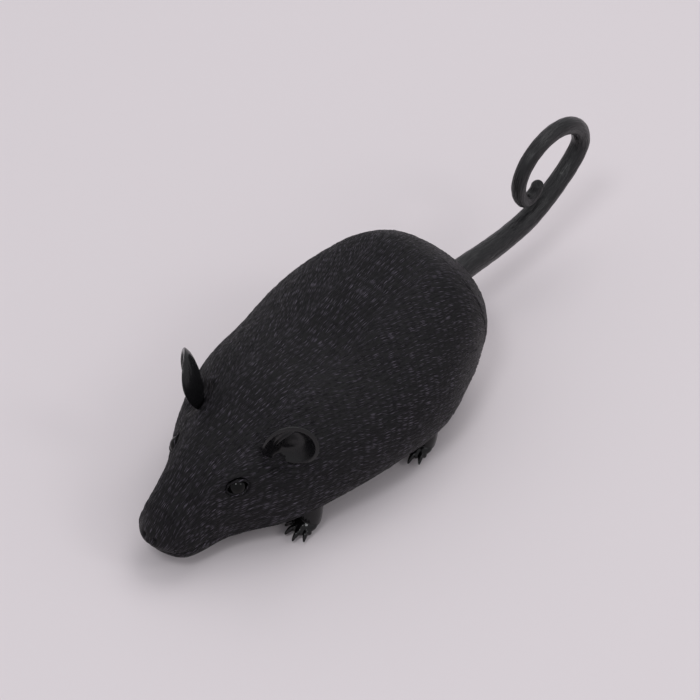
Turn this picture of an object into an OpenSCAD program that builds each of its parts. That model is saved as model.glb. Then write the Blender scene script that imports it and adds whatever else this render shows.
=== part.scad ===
// Clockwork mouse: a moulded shell over a spring motor that is wound by turning the curled tail.
// The nose points to -Y, the left side is +X and the floor is z = 0.

/* [Body] */
// Length of the body from snout to rump
body_l = 130; // [120:1:156]
// Greatest width of the body
body_w = 67; // [64:1:81]
// Height of the back above the floor
body_h = 51; // [48:1:61]
// Wall of the moulded shell
shell_t = 1.8; // [1.5:0.1:2.2]
// Height of the shell's lower edge above the floor
skirt_z = 7; // [6.6:0.1:7.4]
// Thickness of the base plate
base_t = 1.8; // [1.5:0.1:2]

/* [Ears and eyes] */
// Height of an ear from root to tip
ear_h = 19; // [15:0.5:23]
// Width of an ear
ear_w = 15.5; // [12:0.5:19]
// Depth of the ear's cup
ear_cup = 4.5; // [3:0.5:6]
// Diameter of an eye bead
eye_d = 5.6; // [4.6:0.1:6.8]

/* [Feet] */
// Diameter of a leg where it plugs into the shell
leg_d = 6; // [5:0.1:7.2]
// Reach of the middle toes in front of the leg
toe_l = 7.5; // [6:0.5:9]

/* [Tail] */
// Diameter of the tail at its root
tail_root_d = 8; // [6.6:0.1:9.6]
// Diameter of the tail at its tip
tail_tip_d = 4.1; // [3.4:0.1:5]
// Length of the tail's loop along Y, to the centre of the tail
loop_l = 30; // [25:0.5:36]
// Height of the tail's loop, to the centre of the tail
loop_h = 24.6; // [21:0.5:26]
// Upward pitch of the winding arbor towards the tail, in degrees
arbor_pitch = 6; // [5:0.5:6.5]

/* [Running gear] */
// Diameter of a driving wheel over its tyre
wheel_d = 24; // [20:0.5:26]
// Width of a driving wheel
wheel_w = 4.2; // [3:0.1:4.8]
// Thickness of a tyre
tyre_t = 3; // [2:0.5:4]
// Diameter of the front roller
roller_d = 18; // [17:0.5:21]
// Diameter of the drive axle
axle_d = 3; // [2.4:0.1:3.2]

/* [Motor] */
// Gear module of the train
gear_m = 0.6; // [0.5:0.02:0.62]
// Teeth of the crown wheel and of the second wheel
wheel_teeth = 30; // [25:1:30]
// Teeth of both pinions
pinion_teeth = 10; // [10:1:12]
// Radial running clearance of a journal in its hole
run_fit = 0.05; // [0.03:0.01:0.1]
// Turns of the mainspring's coil
spring_turns = 6; // [4:1:6]
// Width of the mainspring strip
spring_w = 8; // [6:0.5:8.5]
// Thickness of a motor side plate
plate_t = 1.2; // [1:0.1:1.4]

/* [Hidden] */
$fn = 64;

fur_black = [0.16, 0.15, 0.17];
gloss_black = [0.05, 0.05, 0.055];
base_black = [0.12, 0.12, 0.13];
steel = [0.72, 0.73, 0.75];
brass = [0.83, 0.67, 0.36];
tyre_black = [0.1, 0.1, 0.1];
nylon = [0.9, 0.88, 0.82];

// Stations along the body from snout (0) to rump (1), with each section's half width, crown
// height, level of greatest width and belly height as shares of body_w / 2 or body_h.
st = [0, 0.06, 0.15, 0.27, 0.40, 0.55, 0.70, 0.85, 1];
st_half = [0.21, 0.285, 0.395, 0.71, 0.88, 1, 1, 0.85, 0.81];
st_top = [0.37, 0.465, 0.63, 0.70, 0.79, 0.81, 0.92, 1, 0.88];
st_mid = [0.25, 0.18, 0.195, 0.265, 0.36, 0.36, 0.40, 0.47, 0.51];
st_low = [0.16, 0.07, 0.10, 0.09, 0.07, 0.07, 0.06, 0.07, 0.16];
snout_r = 7;
rump_r = 24;

eps = 0.01;
joint_gap = 0.25;
base_top = skirt_z + base_t;
plate_rim = 1.6;

// The winding arbor's line leaves the rump at the tail's root and falls towards the front.
root = [0, body_l / 2 - 5, 23.4];
motor_back = 44;
train_y = root[1] - motor_back;
train_z = root[2] - (root[1] - train_y) * tan(arbor_pitch);
second = [0, train_y, train_z];
centre_gap = gear_m * (wheel_teeth + pinion_teeth) / 2;
axle_z = wheel_d / 2;
axle_y = train_y + sqrt(centre_gap * centre_gap - pow(train_z - axle_z, 2));
root_s = (root[1] - train_y) / cos(arbor_pitch);

// Gears
pressure = 25;
addendum = 0.85 * gear_m;
dedendum = 1.05 * gear_m;
backlash = 0.12;
wheel_r = gear_m * wheel_teeth / 2;
pinion_r = gear_m * pinion_teeth / 2;
crown_face = 2;
gear_t = 1.4;
// Direction from the second shaft to the drive axle in a spur wheel's own plane.
mesh_a = atan2(axle_y - train_y, train_z - axle_z);
pinion_phase = 90 + arbor_pitch + 180 / pinion_teeth;
second_phase = mesh_a;
axle_phase = mesh_a + 180 + 180 / pinion_teeth;
second_shaft_r = 1;
crown_back = pinion_r + dedendum;
crown_disc_t = 1.8;
journal_r = 1.5;
arbor_r = 2;

// Motor frame, measured outwards along X
second_wheel_x = -wheel_r - crown_face / 2 - gear_t / 2 - 0.3;

// Motor stations along the arbor, counted from the second shaft towards the tail
ratchet_s = crown_back + crown_disc_t + 0.2;
ratchet_t = 1.4;
ratchet_r = 4.6;
ratchet_teeth = 12;
mid_bridge_s = 13;
rear_bridge_s = 26;
bridge_t = 1.4;
spring_s = mid_bridge_s + bridge_t + (rear_bridge_s - mid_bridge_s - bridge_t - spring_w) / 2;
spring_strip = 0.4;
spring_in = arbor_r + 0.5;
spring_pitch = 1.2;
spring_out = spring_in + spring_turns * spring_pitch;
post_r = 0.9;
post_at = [spring_out + spring_strip / 2, 6.5];
eye_wall = 0.45;
// The plates stand clear of the second wheel and of the spring's outer eye, whichever is wider.
side_gap = 0.3;
plate_x = max(-second_wheel_x + gear_t / 2 + 0.5, post_at[0] + post_r + eye_wall + side_gap);
plate_out = plate_x + plate_t;
wheel_x = plate_out + 0.6;
wheel_out = wheel_x + wheel_w;
axle_half = wheel_out + 0.6;
axle_room = 0.3;
plate_front = train_y - wheel_r - 5;
plate_rear = train_y + 29;
plate_top = train_z + wheel_r + 5.5;
pillar_r = 1.5;
pillar_reach = wheel_r + addendum + pillar_r + 0.6;

// Front roller
roller_y = -body_l * 0.29;
roller_w = 5;
roller_axle_r = 1;
roller_z = roller_d / 2;
block_t = 2.2;

// Screws
screw_r = 1;
screw_head_r = 1.9;
screw_head_t = 1;
flange_t = 1.4;
boss_r = 2.6;
front_boss_y = -body_l * 0.39;
side_boss_y = plate_front + 3;
side_boss_x = wheel_out + 1;

// Tail
root_journal_r = tail_root_d / 2;
bush_wall = 1.8;
bush_s0 = root_s - 1.5;
bush_l = 6;
tail_s0 = root_s - 5;
stalk_s = bush_s0 + bush_l - 0.5;
stalk = [train_y + stalk_s * cos(arbor_pitch), train_z + stalk_s * sin(arbor_pitch)];
loop_y = root[1] + 51;
loop_z = 40.2;
tail_sides = 16;
tail_rings = 60;

// Smooth curve through the values vs at the stations us.
function span(us, u, i = 0) = i >= len(us) - 2 || u < us[i + 1] ? i : span(us, u, i + 1);
function rise(us, vs, i) =
    let (a = max(i - 1, 0), b = min(i + 1, len(us) - 1)) (vs[b] - vs[a]) / (us[b] - us[a]);
function curve(us, vs, u) =
    let (i = span(us, u), h = us[i + 1] - us[i], s = (u - us[i]) / h)
    vs[i] * (1 + 2 * s) * pow(1 - s, 2) + vs[i + 1] * s * s * (3 - 2 * s)
    + rise(us, vs, i) * h * s * pow(1 - s, 2) - rise(us, vs, i + 1) * h * s * s * (1 - s);

// Rounding of the snout and the rump: the sections shrink to a point over these lengths.
function round_off(d, r) = d >= r ? 1 : sqrt(max(1 - pow(1 - d / r, 2), 0));
function ends(u) = round_off(u * body_l, snout_r) * round_off((1 - u) * body_l, rump_r);
function half_w(u) = curve(st, st_half, u) * body_w / 2;
function top_z(u) = curve(st, st_top, u) * body_h;
function mid_z(u) = curve(st, st_mid, u) * body_h;
function low_z(u) = curve(st, st_low, u) * body_h;

// Point of the body's surface at station u and angle a round the section, moved in by t.
function signed_pow(v, e) = sign(v) * pow(abs(v), e);
function skin_at(u, a, t = 0) =
    let (f = ends(u), up = (top_z(u) - mid_z(u)) * f - t * f, down = (mid_z(u) - low_z(u)) * f - t * f)
    [(half_w(u) * f - t * f) * signed_pow(cos(a), 0.9),
     (u - 0.5) * (body_l - 2 * t),
     mid_z(u) + (sin(a) > 0 ? up * pow(sin(a), 0.95) : -down * pow(-sin(a), 0.8))];
function unit(v) = v / norm(v);
function skin_normal(u, a) =
    unit(cross(skin_at(u, a + 1) - skin_at(u, a - 1), skin_at(u - 0.01, a) - skin_at(u + 0.01, a)));

// Half width of the body at the height of the shell's lower edge.
function skirt_half(u) =
    let (f = ends(u), share = (mid_z(u) - skirt_z) / ((mid_z(u) - low_z(u)) * f + eps))
    share >= 1 ? 0 : half_w(u) * f * pow(1 - pow(share, 2.5), 0.45);

// Closed surface through rings of points, with a point at each end.
module loft(rings, first, last) {
    n = len(rings[0]);
    m = len(rings);
    points = concat([for (ring = rings) each ring], [first, last]);
    sides = [for (i = [0 : m - 2], j = [0 : n - 1]) let (k = (j + 1) % n)
        each [[i * n + j, i * n + k, (i + 1) * n + k], [i * n + j, (i + 1) * n + k, (i + 1) * n + j]]];
    caps = [for (j = [0 : n - 1]) let (k = (j + 1) % n)
        each [[m * n, k, j], [m * n + 1, (m - 1) * n + j, (m - 1) * n + k]]];
    polyhedron(points = points, faces = concat(sides, caps));
}

module body_form(t, rings, sides) {
    us = [for (i = [1 : rings - 1]) (1 - cos(180 * i / rings)) / 2];
    loft([for (u = us) [for (j = [0 : sides - 1]) skin_at(u, 360 * j / sides, t)]],
        skin_at(0, 0, t), skin_at(1, 0, t));
}

// Cubic Bezier curve through a to d.
function bezier(a, b, c, d, t) =
    a * pow(1 - t, 3) + b * 3 * t * pow(1 - t, 2) + c * 3 * t * t * (1 - t) + d * pow(t, 3);
function heading(a) = [cos(a), sin(a)];
loop_start = [loop_y + loop_l / 2, loop_z];
stalk_bend = [loop_y - 0.35 * loop_l, root[2] - 0.1];
hook_a = 214;
hook_start = [loop_y + loop_l / 2 * cos(hook_a), loop_z + loop_h / 2 * sin(hook_a)];
hook_dir = unit([-loop_l * sin(hook_a), loop_h * cos(hook_a)]);
hook_end = [loop_y - 0.18 * loop_l, loop_z - 0.15 * loop_h];
// Centre line of the tail: root to bend, bend to loop, round the loop, then the curled tip.
function tail_line(t) =
    t < 0.25 ? bezier(stalk, stalk + 8 * heading(arbor_pitch),
        stalk_bend - 14 * heading(9), stalk_bend, t / 0.25)
    : t < 0.45 ? bezier(stalk_bend, stalk_bend + 9 * heading(9), loop_start - [0.4, 6.2], loop_start,
        (t - 0.25) / 0.2)
    : t < 0.88 ? let (a = hook_a * (t - 0.45) / 0.43)
        [loop_y + loop_l / 2 * cos(a), loop_z + loop_h / 2 * sin(a)]
    : bezier(hook_start, hook_start + 4 * hook_dir, hook_end - [-0.4, 4], hook_end, (t - 0.88) / 0.12);
function tail_r(t) = (tail_root_d - 0.1 + (tail_tip_d - tail_root_d) * pow(t, 0.85)) / 2;
function tail_ring(t) =
    let (d = unit(tail_line(min(t + 0.002, 1)) - tail_line(max(t - 0.002, 0))), c = tail_line(t),
        tip = 1 - t, r = tail_r(t) * (tip < 0.02 ? sqrt(max(1 - pow(1 - tip / 0.02, 2), 0.04)) : 1))
    [for (j = [0 : tail_sides - 1]) let (a = 360 * j / tail_sides)
        [r * cos(a), c[0] - d[1] * r * sin(a), c[1] + d[0] * r * sin(a)]];
tail_reach = max([for (i = [0 : 100]) tail_line(i / 100)[0] + tail_r(i / 100)]);
centre_shift = (body_l / 2 - tail_reach) / 2;

// Everything is modelled about the body's middle and then moved so that the whole toy is centred.
module placed() {
    translate([0, centre_shift, 0]) children();
}

// Frame of the winding arbor: +Z runs along it to the tail, from the second shaft's line.
module on_arbor(s = 0) {
    translate(second) rotate([arbor_pitch - 90, 0, 0]) translate([0, 0, s]) children();
}

module mirrored_pair() {
    children();
    mirror([1, 0, 0]) children();
}

// Frame with +Z along direction d and +X along side, at point p.
module aimed(p, d, side) {
    z = unit(d);
    x = unit(side - z * (side * z));
    y = cross(z, x);
    multmatrix([[x[0], y[0], z[0], p[0]], [x[1], y[1], z[1], p[1]], [x[2], y[2], z[2], p[2]]]) children();
}

// Ears: root on the skin, leaning out and back, cup facing forwards and out.
ear_u = 0.296;
ear_a = 54.5;
ear_sink = 4.6;
ear_root = skin_at(ear_u, ear_a);
ear_up = unit([0.44, 0.13, 0.88]);
ear_face = [0.61, -0.77, -0.19];
ear_peg_r = 1.6;

// Eyes
eye_u = 0.181;
eye_a = 40;
eye_at = skin_at(eye_u, eye_a);
eye_out = skin_normal(eye_u, eye_a);
eye_sink = 0.5 * eye_d / 2;
eye_stem_r = 1.2;

// Feet: centre of each leg, tied to the skirt.
front_leg_y = -body_l * 0.17;
rear_leg_y = body_l * 0.178;
function leg_x(y) = skirt_half(y / body_l + 0.5) - 0.4 + leg_d / 2;
leg_plug_top = skirt_z + 7;
ankle_z = 4.2;

module leg_hole(y) {
    translate([leg_x(y), y, 0]) cylinder(d = leg_d, h = leg_plug_top);
}

module base_outline(inset) {
    n = 44;
    shrink = (body_l - 2 * (inset + 0.6)) / body_l;
    side = [for (i = [0 : n]) let (u = i / n, x = skirt_half(u) - inset) if (x > 1.5) [x, (u - 0.5) * body_l * shrink]];
    polygon(concat(side, [for (i = [len(side) - 1 : -1 : 0]) [-side[i][0], side[i][1]]]));
}

module boss_places() {
    translate([0, front_boss_y, 0]) children();
    mirrored_pair() translate([side_boss_x, side_boss_y, 0]) children();
}

module screw(length) {
    difference() {
        union() {
            cylinder(r1 = screw_head_r, r2 = screw_r, h = screw_head_t);
            cylinder(r = screw_r, h = length);
        }
        translate([0, 0, 0.2]) cube([0.5, 2.4, 0.9], center = true);
        translate([0, 0, 0.2]) cube([2.4, 0.5, 0.9], center = true);
    }
}

module screw_hole() {
    translate([0, 0, skirt_z]) cylinder(r1 = screw_head_r, r2 = screw_r, h = screw_head_t);
    translate([0, 0, skirt_z - eps]) cylinder(r = screw_r, h = base_t + 2 * eps);
}

module body_shell() {
    color(fur_black) placed() difference() {
        body_form(0, 36, 28);
        difference() {
            body_form(shell_t, 24, 20);
            translate([-body_w, -body_l, 0]) cube([2 * body_w, 2 * body_l, base_top]);
            boss_places() cylinder(r = boss_r, h = 2 * body_h);
            on_arbor(bush_s0) cylinder(r = root_journal_r + 2 * bush_wall, h = 2 * bush_l);
        }
        translate([-body_w, -body_l, -eps]) cube([2 * body_w, 2 * body_l, skirt_z + eps]);
        translate([0, 0, skirt_z - 1]) linear_extrude(base_t + 1) base_outline(plate_rim);
        boss_places() cylinder(r = screw_r, h = base_top + 6);
        on_arbor(bush_s0) cylinder(r = root_journal_r + bush_wall, h = 2 * bush_l);
        on_arbor(tail_s0 - 5) cylinder(r = root_journal_r + 0.5, h = 8);
        mirrored_pair() {
            leg_hole(front_leg_y);
            leg_hole(rear_leg_y);
            aimed(ear_root, ear_up, ear_face) translate([0, 0, -5]) cylinder(r = ear_peg_r, h = 10);
            aimed(eye_at, eye_out, [0, 1, 0]) translate([0, 0, -6]) cylinder(d = eye_d, h = 12);
        }
    }
}

module wheel_slot(x0, x1, y, r) {
    half = sqrt(r * r - pow(r - skirt_z, 2)) + 1.4;
    translate([x0, y - half, skirt_z - 1]) cube([x1 - x0, 2 * half, base_t + 2]);
}

flange_places = [[plate_x - 2.6, plate_front + 4], [plate_x - 2.6, plate_rear - 3.4]];

module base_plate() {
    color(base_black) placed() difference() {
        union() {
            translate([0, 0, skirt_z]) linear_extrude(base_t) base_outline(plate_rim + joint_gap);
            mirrored_pair() translate([roller_w / 2 + 0.8, roller_y - 3, base_top - eps])
                cube([block_t, 6, roller_z + 2.4 - base_top]);
        }
        mirrored_pair() wheel_slot(plate_out + 0.1, wheel_out + 0.7, axle_y, wheel_d / 2);
        wheel_slot(-roller_w / 2 - 0.7, roller_w / 2 + 0.7, roller_y, roller_d / 2);
        translate([0, roller_y, roller_z]) rotate([0, 90, 0])
            cylinder(r = roller_axle_r, h = 4 * roller_w, center = true);
        translate([second_wheel_x, axle_y, axle_z]) rotate([0, 90, 0])
            cylinder(r = pinion_r + addendum + 0.4, h = gear_t + 1.4, center = true);
        translate([0, axle_y, axle_z]) rotate([0, 90, 0])
            cylinder(r = axle_d / 2 + axle_room, h = 2 * (axle_half + axle_room), center = true);
        boss_places() screw_hole();
        mirrored_pair() for (p = flange_places) translate([p[0], p[1], 0]) screw_hole();
    }
}

// Cupped ear: a round-edged dish whose outline narrows to the root.
module ear_form() {
    rings = 12;
    sides = 28;
    lip = 0.75;
    ring = [for (i = [1 : 2 * rings - 1]) let (q = i / rings, rho = q < 1 ? q : 2 - q,
            face = q < 1 ? -1 : 1, thick = face * lip * sqrt(max(1 - pow(rho, 6), 0)))
        [for (j = [0 : sides - 1]) let (a = 360 * j / sides,
                across = rho * ear_w / 2 * cos(a) * (1 + 0.22 * sin(a)),
                along = ear_h / 2 + rho * ear_h / 2 * sin(a))
            [ear_cup * rho * rho * (0.35 + 0.65 * pow(cos(a), 2)) + thick, across, along]]];
    loft([for (i = [len(ring) - 1 : -1 : 0]) ring[i]], [lip, 0, ear_h / 2], [-lip, 0, ear_h / 2]);
}

module ear() {
    difference() {
        aimed(ear_root - ear_up * ear_sink, ear_up, ear_face) ear_form();
        aimed(ear_root + 0.05 * skin_normal(ear_u, ear_a), skin_normal(ear_u, ear_a), [0, 1, 0])
            translate([-ear_h, -ear_h, -ear_h]) cube([2 * ear_h, 2 * ear_h, ear_h]);
    }
    aimed(ear_root, ear_up, ear_face) translate([0, 0, -3.5]) cylinder(r = ear_peg_r, h = 4.1);
}

module left_ear() {
    color(gloss_black) placed() ear();
}

module right_ear() {
    color(gloss_black) placed() mirror([1, 0, 0]) ear();
}

module eye() {
    aimed(eye_at - eye_sink * eye_out, eye_out, [0, 1, 0]) {
        sphere(d = eye_d);
        translate([0, 0, -eye_d / 2 - 1.5]) cylinder(r = eye_stem_r, h = eye_d / 2 + 1.5);
    }
}

module left_eye() {
    color(gloss_black) placed() eye();
}

module right_eye() {
    color(gloss_black) placed() mirror([1, 0, 0]) eye();
}

// Foot: a leg that plugs into the shell, and four clawed toes fanned round the front.
module toe(angle, reach) {
    rotate([0, 0, angle]) hull() {
        translate([0, -0.5, ankle_z - 1.4]) sphere(r = 1.5, $fn = 14);
        translate([0, -0.55 * reach, 2.7]) sphere(r = 1.2, $fn = 14);
        translate([0, -0.72 * reach, 2.2]) sphere(r = 1.1, $fn = 14);
    }
    rotate([0, 0, angle]) translate([0, -0.72 * reach, 2.1]) rotate([102, 0, 0])
        cylinder(r1 = 0.95, r2 = 0.2, h = 0.3 * reach + 0.6);
}

module foot(y) {
    translate([leg_x(y), y, 0]) {
        translate([0, 0, ankle_z]) cylinder(d = leg_d, h = leg_plug_top - 1.5 - ankle_z);
        translate([0, 0, ankle_z]) sphere(d = leg_d);
        for (k = [0 : 3]) toe(-50 + 28 * k, toe_l * (k == 0 || k == 3 ? 0.86 : 1));
    }
}

module front_left_foot() {
    color(gloss_black) placed() foot(front_leg_y);
}

module front_right_foot() {
    color(gloss_black) placed() mirror([1, 0, 0]) foot(front_leg_y);
}

module rear_left_foot() {
    color(gloss_black) placed() foot(rear_leg_y);
}

module rear_right_foot() {
    color(gloss_black) placed() mirror([1, 0, 0]) foot(rear_leg_y);
}

// Side plate of the motor with a foot flange turned inwards at each end.
module motor_plate() {
    difference() {
        union() {
            translate([plate_x, plate_front, base_top])
                cube([plate_t, plate_rear - plate_front, plate_top - base_top]);
            for (p = flange_places) translate([plate_x - 5, p[1] - 2.4, base_top])
                cube([5 + eps, 4.8, flange_t]);
        }
        translate([0, train_y, train_z]) rotate([0, 90, 0]) cylinder(r = second_shaft_r + run_fit, h = 2 * plate_out);
        translate([0, axle_y, axle_z]) rotate([0, 90, 0]) cylinder(r = axle_d / 2 + run_fit, h = 2 * plate_out);
        for (p = pillar_places) translate([0, p[0], p[1]]) rotate([0, 90, 0]) cylinder(r = pillar_r / 2, h = 2 * plate_out);
        for (s = [mid_bridge_s, rear_bridge_s]) on_arbor(s) bridge_tab();
        for (p = flange_places) translate([p[0], p[1], 0]) cylinder(r = screw_r, h = 2 * base_top);
    }
}

pillar_places = [[train_y, train_z + pillar_reach], [train_y - pillar_reach, train_z - 2]];
tab_h = 6;

module bridge_tab() {
    translate([-plate_out, -tab_h / 2 - 2, 0]) cube([2 * plate_out, tab_h, bridge_t]);
}

module left_motor_plate() {
    color(steel) placed() motor_plate();
}

module right_motor_plate() {
    color(steel) placed() mirror([1, 0, 0]) motor_plate();
}

module bridge(hole_r) {
    difference() {
        union() {
            translate([-plate_x, -13, 0]) cube([2 * plate_x, 21, bridge_t]);
            bridge_tab();
        }
        translate([0, 0, -1]) cylinder(r = hole_r, h = bridge_t + 2);
        translate([post_at[0], post_at[1], -1]) cylinder(r = post_r * 0.7, h = bridge_t + 2);
    }
}

module mid_bridge() {
    color(steel) placed() on_arbor(mid_bridge_s) bridge(arbor_r + run_fit);
}

module rear_bridge() {
    color(steel) placed() on_arbor(rear_bridge_s) bridge(arbor_r + run_fit);
}

module motor_pillars() {
    color(steel) placed() for (p = pillar_places) translate([0, p[0], p[1]]) rotate([0, 90, 0]) {
        cylinder(r = pillar_r, h = 2 * plate_x, center = true);
        cylinder(r = pillar_r / 2, h = 2 * plate_out + 0.8, center = true);
    }
}

module spring_post() {
    inner = rear_bridge_s - mid_bridge_s - bridge_t;
    color(steel) placed() on_arbor(mid_bridge_s) translate([post_at[0], post_at[1], 0]) {
        translate([0, 0, bridge_t]) cylinder(r = post_r, h = inner);
        cylinder(r = post_r * 0.7, h = inner + 2 * bridge_t);
    }
}

// Flat strip coiled from half turns whose centres alternate, from the arbor to the post.
module mainspring() {
    color(steel) placed() on_arbor(spring_s) {
        for (k = [0 : 2 * spring_turns - 1]) let (r = spring_in + k * spring_pitch / 2)
            translate([k % 2 == 0 ? 0 : spring_pitch / 2, 0, 0]) rotate([0, 0, k % 2 == 0 ? 0 : 180])
                rotate_extrude(angle = 180) translate([r, 0]) square([spring_strip, spring_w]);
        translate([arbor_r - 0.3, -0.2, 0]) cube([spring_in - arbor_r + 0.3 + spring_strip, spring_strip, spring_w]);
        translate([spring_out, -eps, 0]) cube([spring_strip, post_at[1] - post_r - eye_wall / 2, spring_w]);
        translate([post_at[0], post_at[1], 0]) difference() {
            cylinder(r = post_r + eye_wall, h = spring_w);
            translate([0, 0, -1]) cylinder(r = post_r + run_fit, h = spring_w + 2);
        }
    }
}

module motor_screws() {
    color(steel) placed() mirrored_pair() for (p = flange_places)
        translate([p[0], p[1], skirt_z]) screw(base_t + flange_t + 1);
}

module shell_screws() {
    color(steel) placed() boss_places() translate([0, 0, skirt_z]) screw(base_t + 5);
}

module tail_bush() {
    color(nylon) placed() on_arbor(bush_s0) difference() {
        cylinder(r = root_journal_r + bush_wall, h = bush_l);
        translate([0, 0, -1]) cylinder(r = root_journal_r + run_fit, h = bush_l + 2);
    }
}

// Half angle of a tooth at radius r, from an involute flank.
function involute(a) = tan(a) - a * PI / 180;
function tooth_half(n, r) =
    let (pitch_r = gear_m * n / 2, base_r = pitch_r * cos(pressure), at = acos(min(base_r / r, 1)))
    (PI / (2 * n) + involute(pressure) - involute(at) - backlash / (4 * pitch_r) * 2) * 180 / PI;

module gear_outline(n, phase = 0) {
    pitch_r = gear_m * n / 2;
    base_r = max(pitch_r * cos(pressure), pitch_r - dedendum);
    tip_r = pitch_r + addendum;
    flank = [for (k = [0 : 3]) base_r + (tip_r - base_r) * k / 3];
    polygon([for (i = [0 : n - 1]) let (mid = 360 * i / n + phase) each concat(
        [(pitch_r - dedendum) * [cos(mid - tooth_half(n, base_r)), sin(mid - tooth_half(n, base_r))]],
        [for (r = flank) r * [cos(mid - tooth_half(n, r)), sin(mid - tooth_half(n, r))]],
        [for (k = [3 : -1 : 0]) flank[k] * [cos(mid + tooth_half(n, flank[k])), sin(mid + tooth_half(n, flank[k]))]],
        [(pitch_r - dedendum) * [cos(mid + tooth_half(n, base_r)), sin(mid + tooth_half(n, base_r))]])]);
}

// Crown wheel: ribs on the front face of a disc, running free on the arbor's front journal.
module crown_wheel() {
    rib_root = 0.62 * gear_m * PI / 2;
    rib_tip = 0.3 * gear_m * PI / 2;
    color(brass) placed() on_arbor() difference() {
        union() {
            translate([0, 0, crown_back]) cylinder(r = wheel_r + crown_face / 2, h = crown_disc_t);
            for (i = [0 : wheel_teeth - 1]) rotate([0, 0, 360 * i / wheel_teeth])
                translate([wheel_r + crown_face / 2, 0, crown_back]) rotate([0, -90, 0])
                    linear_extrude(crown_face) polygon([[eps, -rib_root], [eps, rib_root],
                        [-addendum - dedendum, rib_tip], [-addendum - dedendum, -rib_tip]]);
        }
        cylinder(r = journal_r + run_fit, h = 4 * crown_back);
        rotate([0, 0, click_a]) translate([click_at, 0, 0]) cylinder(r = rivet_r, h = 4 * crown_back);
    }
}

click_at = 7.4;
click_a = 60;
click_reach = [4.15 * cos(50), -4.15 * sin(50)];
click_foot = [click_at - 0.6, -0.9];
click_t = 0.35;
rivet_r = 0.7;

// Leaf that drops behind the ratchet's teeth, fixed to the back of the crown wheel.
module click_spring() {
    run = click_reach - click_foot;
    color(steel) placed() on_arbor(ratchet_s) rotate([0, 0, click_a]) difference() {
        union() {
            translate([click_at, 0, 0]) cylinder(r = 1.5, h = ratchet_t - 0.2);
            translate([click_foot[0], click_foot[1], 0]) rotate([0, 0, atan2(run[1], run[0])])
                translate([0, -click_t / 2, 0]) cube([norm(run), click_t, ratchet_t - 0.2]);
        }
        translate([click_at, 0, -1]) cylinder(r = rivet_r, h = 4);
    }
}

module click_rivet() {
    color(steel) placed() on_arbor() rotate([0, 0, click_a]) translate([click_at, 0, crown_back + 0.6]) {
        cylinder(r = rivet_r, h = ratchet_s + ratchet_t - 0.2 - crown_back - 0.6);
        translate([0, 0, ratchet_s + ratchet_t - 0.2 - crown_back - 0.6]) cylinder(r = 1.2, h = 0.4);
    }
}

module winding_arbor() {
    color(steel) placed() on_arbor() difference() {
        union() {
            translate([0, 0, second_shaft_r + 0.9]) cylinder(r = journal_r, h = ratchet_s);
            translate([0, 0, ratchet_s]) cylinder(r = arbor_r, h = tail_s0 + 8 - ratchet_s);
        }
        translate([arbor_r - 0.35, -0.25, spring_s - 0.2]) cube([1, 0.5, spring_w + 0.4]);
        pin_hole();
    }
}

pin_r = 0.6;

module pin_hole() {
    translate([-root_journal_r, 0, tail_s0 + 2]) rotate([0, 90, 0]) cylinder(r = pin_r, h = 2 * root_journal_r);
}

// Turned so that a tooth's steep face stands against the click's tip.
ratchet_phase = click_a - 52;

module ratchet_wheel() {
    root_r = ratchet_r - 0.8;
    color(steel) placed() on_arbor(ratchet_s) difference() {
        linear_extrude(ratchet_t) polygon([for (i = [0 : ratchet_teeth - 1])
            let (a = 360 * i / ratchet_teeth + ratchet_phase)
            each [ratchet_r * [cos(a), sin(a)], root_r * [cos(a + 2), sin(a + 2)]]]);
        translate([0, 0, -1]) cylinder(r = arbor_r, h = ratchet_t + 2);
    }
}

module arbor_clip() {
    color(steel) placed() on_arbor(crown_back - 0.75) difference() {
        cylinder(r = journal_r + 1.2, h = 0.6);
        translate([0, 0, -1]) cylinder(r = journal_r, h = 3);
    }
}

module tail() {
    ts = [for (i = [0 : tail_rings]) i / tail_rings];
    tip = tail_line(1);
    color(gloss_black) placed() {
        difference() {
            on_arbor(tail_s0) cylinder(r = root_journal_r, h = stalk_s - tail_s0 + 1.5);
            on_arbor(tail_s0 - 1) cylinder(r = arbor_r, h = 9);
            on_arbor() pin_hole();
        }
        loft([for (t = ts) tail_ring(t)], [0, stalk[0] - 0.2, stalk[1]], [0, tip[0], tip[1] + 0.3]);
    }
}

module tail_pin() {
    color(steel) placed() on_arbor() intersection() {
        pin_hole();
        translate([0, 0, tail_s0]) cylinder(r = root_journal_r - 0.2, h = 4);
    }
}

module second_shaft() {
    color(steel) placed() translate(second) rotate([0, 90, 0])
        cylinder(r = second_shaft_r, h = 2 * plate_out + 0.4, center = true);
}

// Spur wheel on a shaft along X, centred on x.
module spur(n, bore_r, x, thick, phase) {
    translate([x, 0, 0]) rotate([0, 90, 0]) difference() {
        linear_extrude(thick, center = true) gear_outline(n, phase);
        cylinder(r = bore_r, h = thick + 2, center = true);
    }
}

module second_pinion() {
    color(brass) placed() translate(second) spur(pinion_teeth, second_shaft_r, wheel_r, crown_face + 0.4, pinion_phase);
}

module second_wheel() {
    color(brass) placed() translate(second) spur(wheel_teeth, second_shaft_r, second_wheel_x, gear_t, second_phase);
}

module axle_pinion() {
    color(brass) placed() translate([0, axle_y, axle_z])
        spur(pinion_teeth, axle_d / 2, second_wheel_x, gear_t + 0.2, axle_phase);
}

module drive_axle() {
    color(steel) placed() translate([0, axle_y, axle_z]) rotate([0, 90, 0])
        cylinder(d = axle_d, h = 2 * axle_half, center = true);
}

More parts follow.
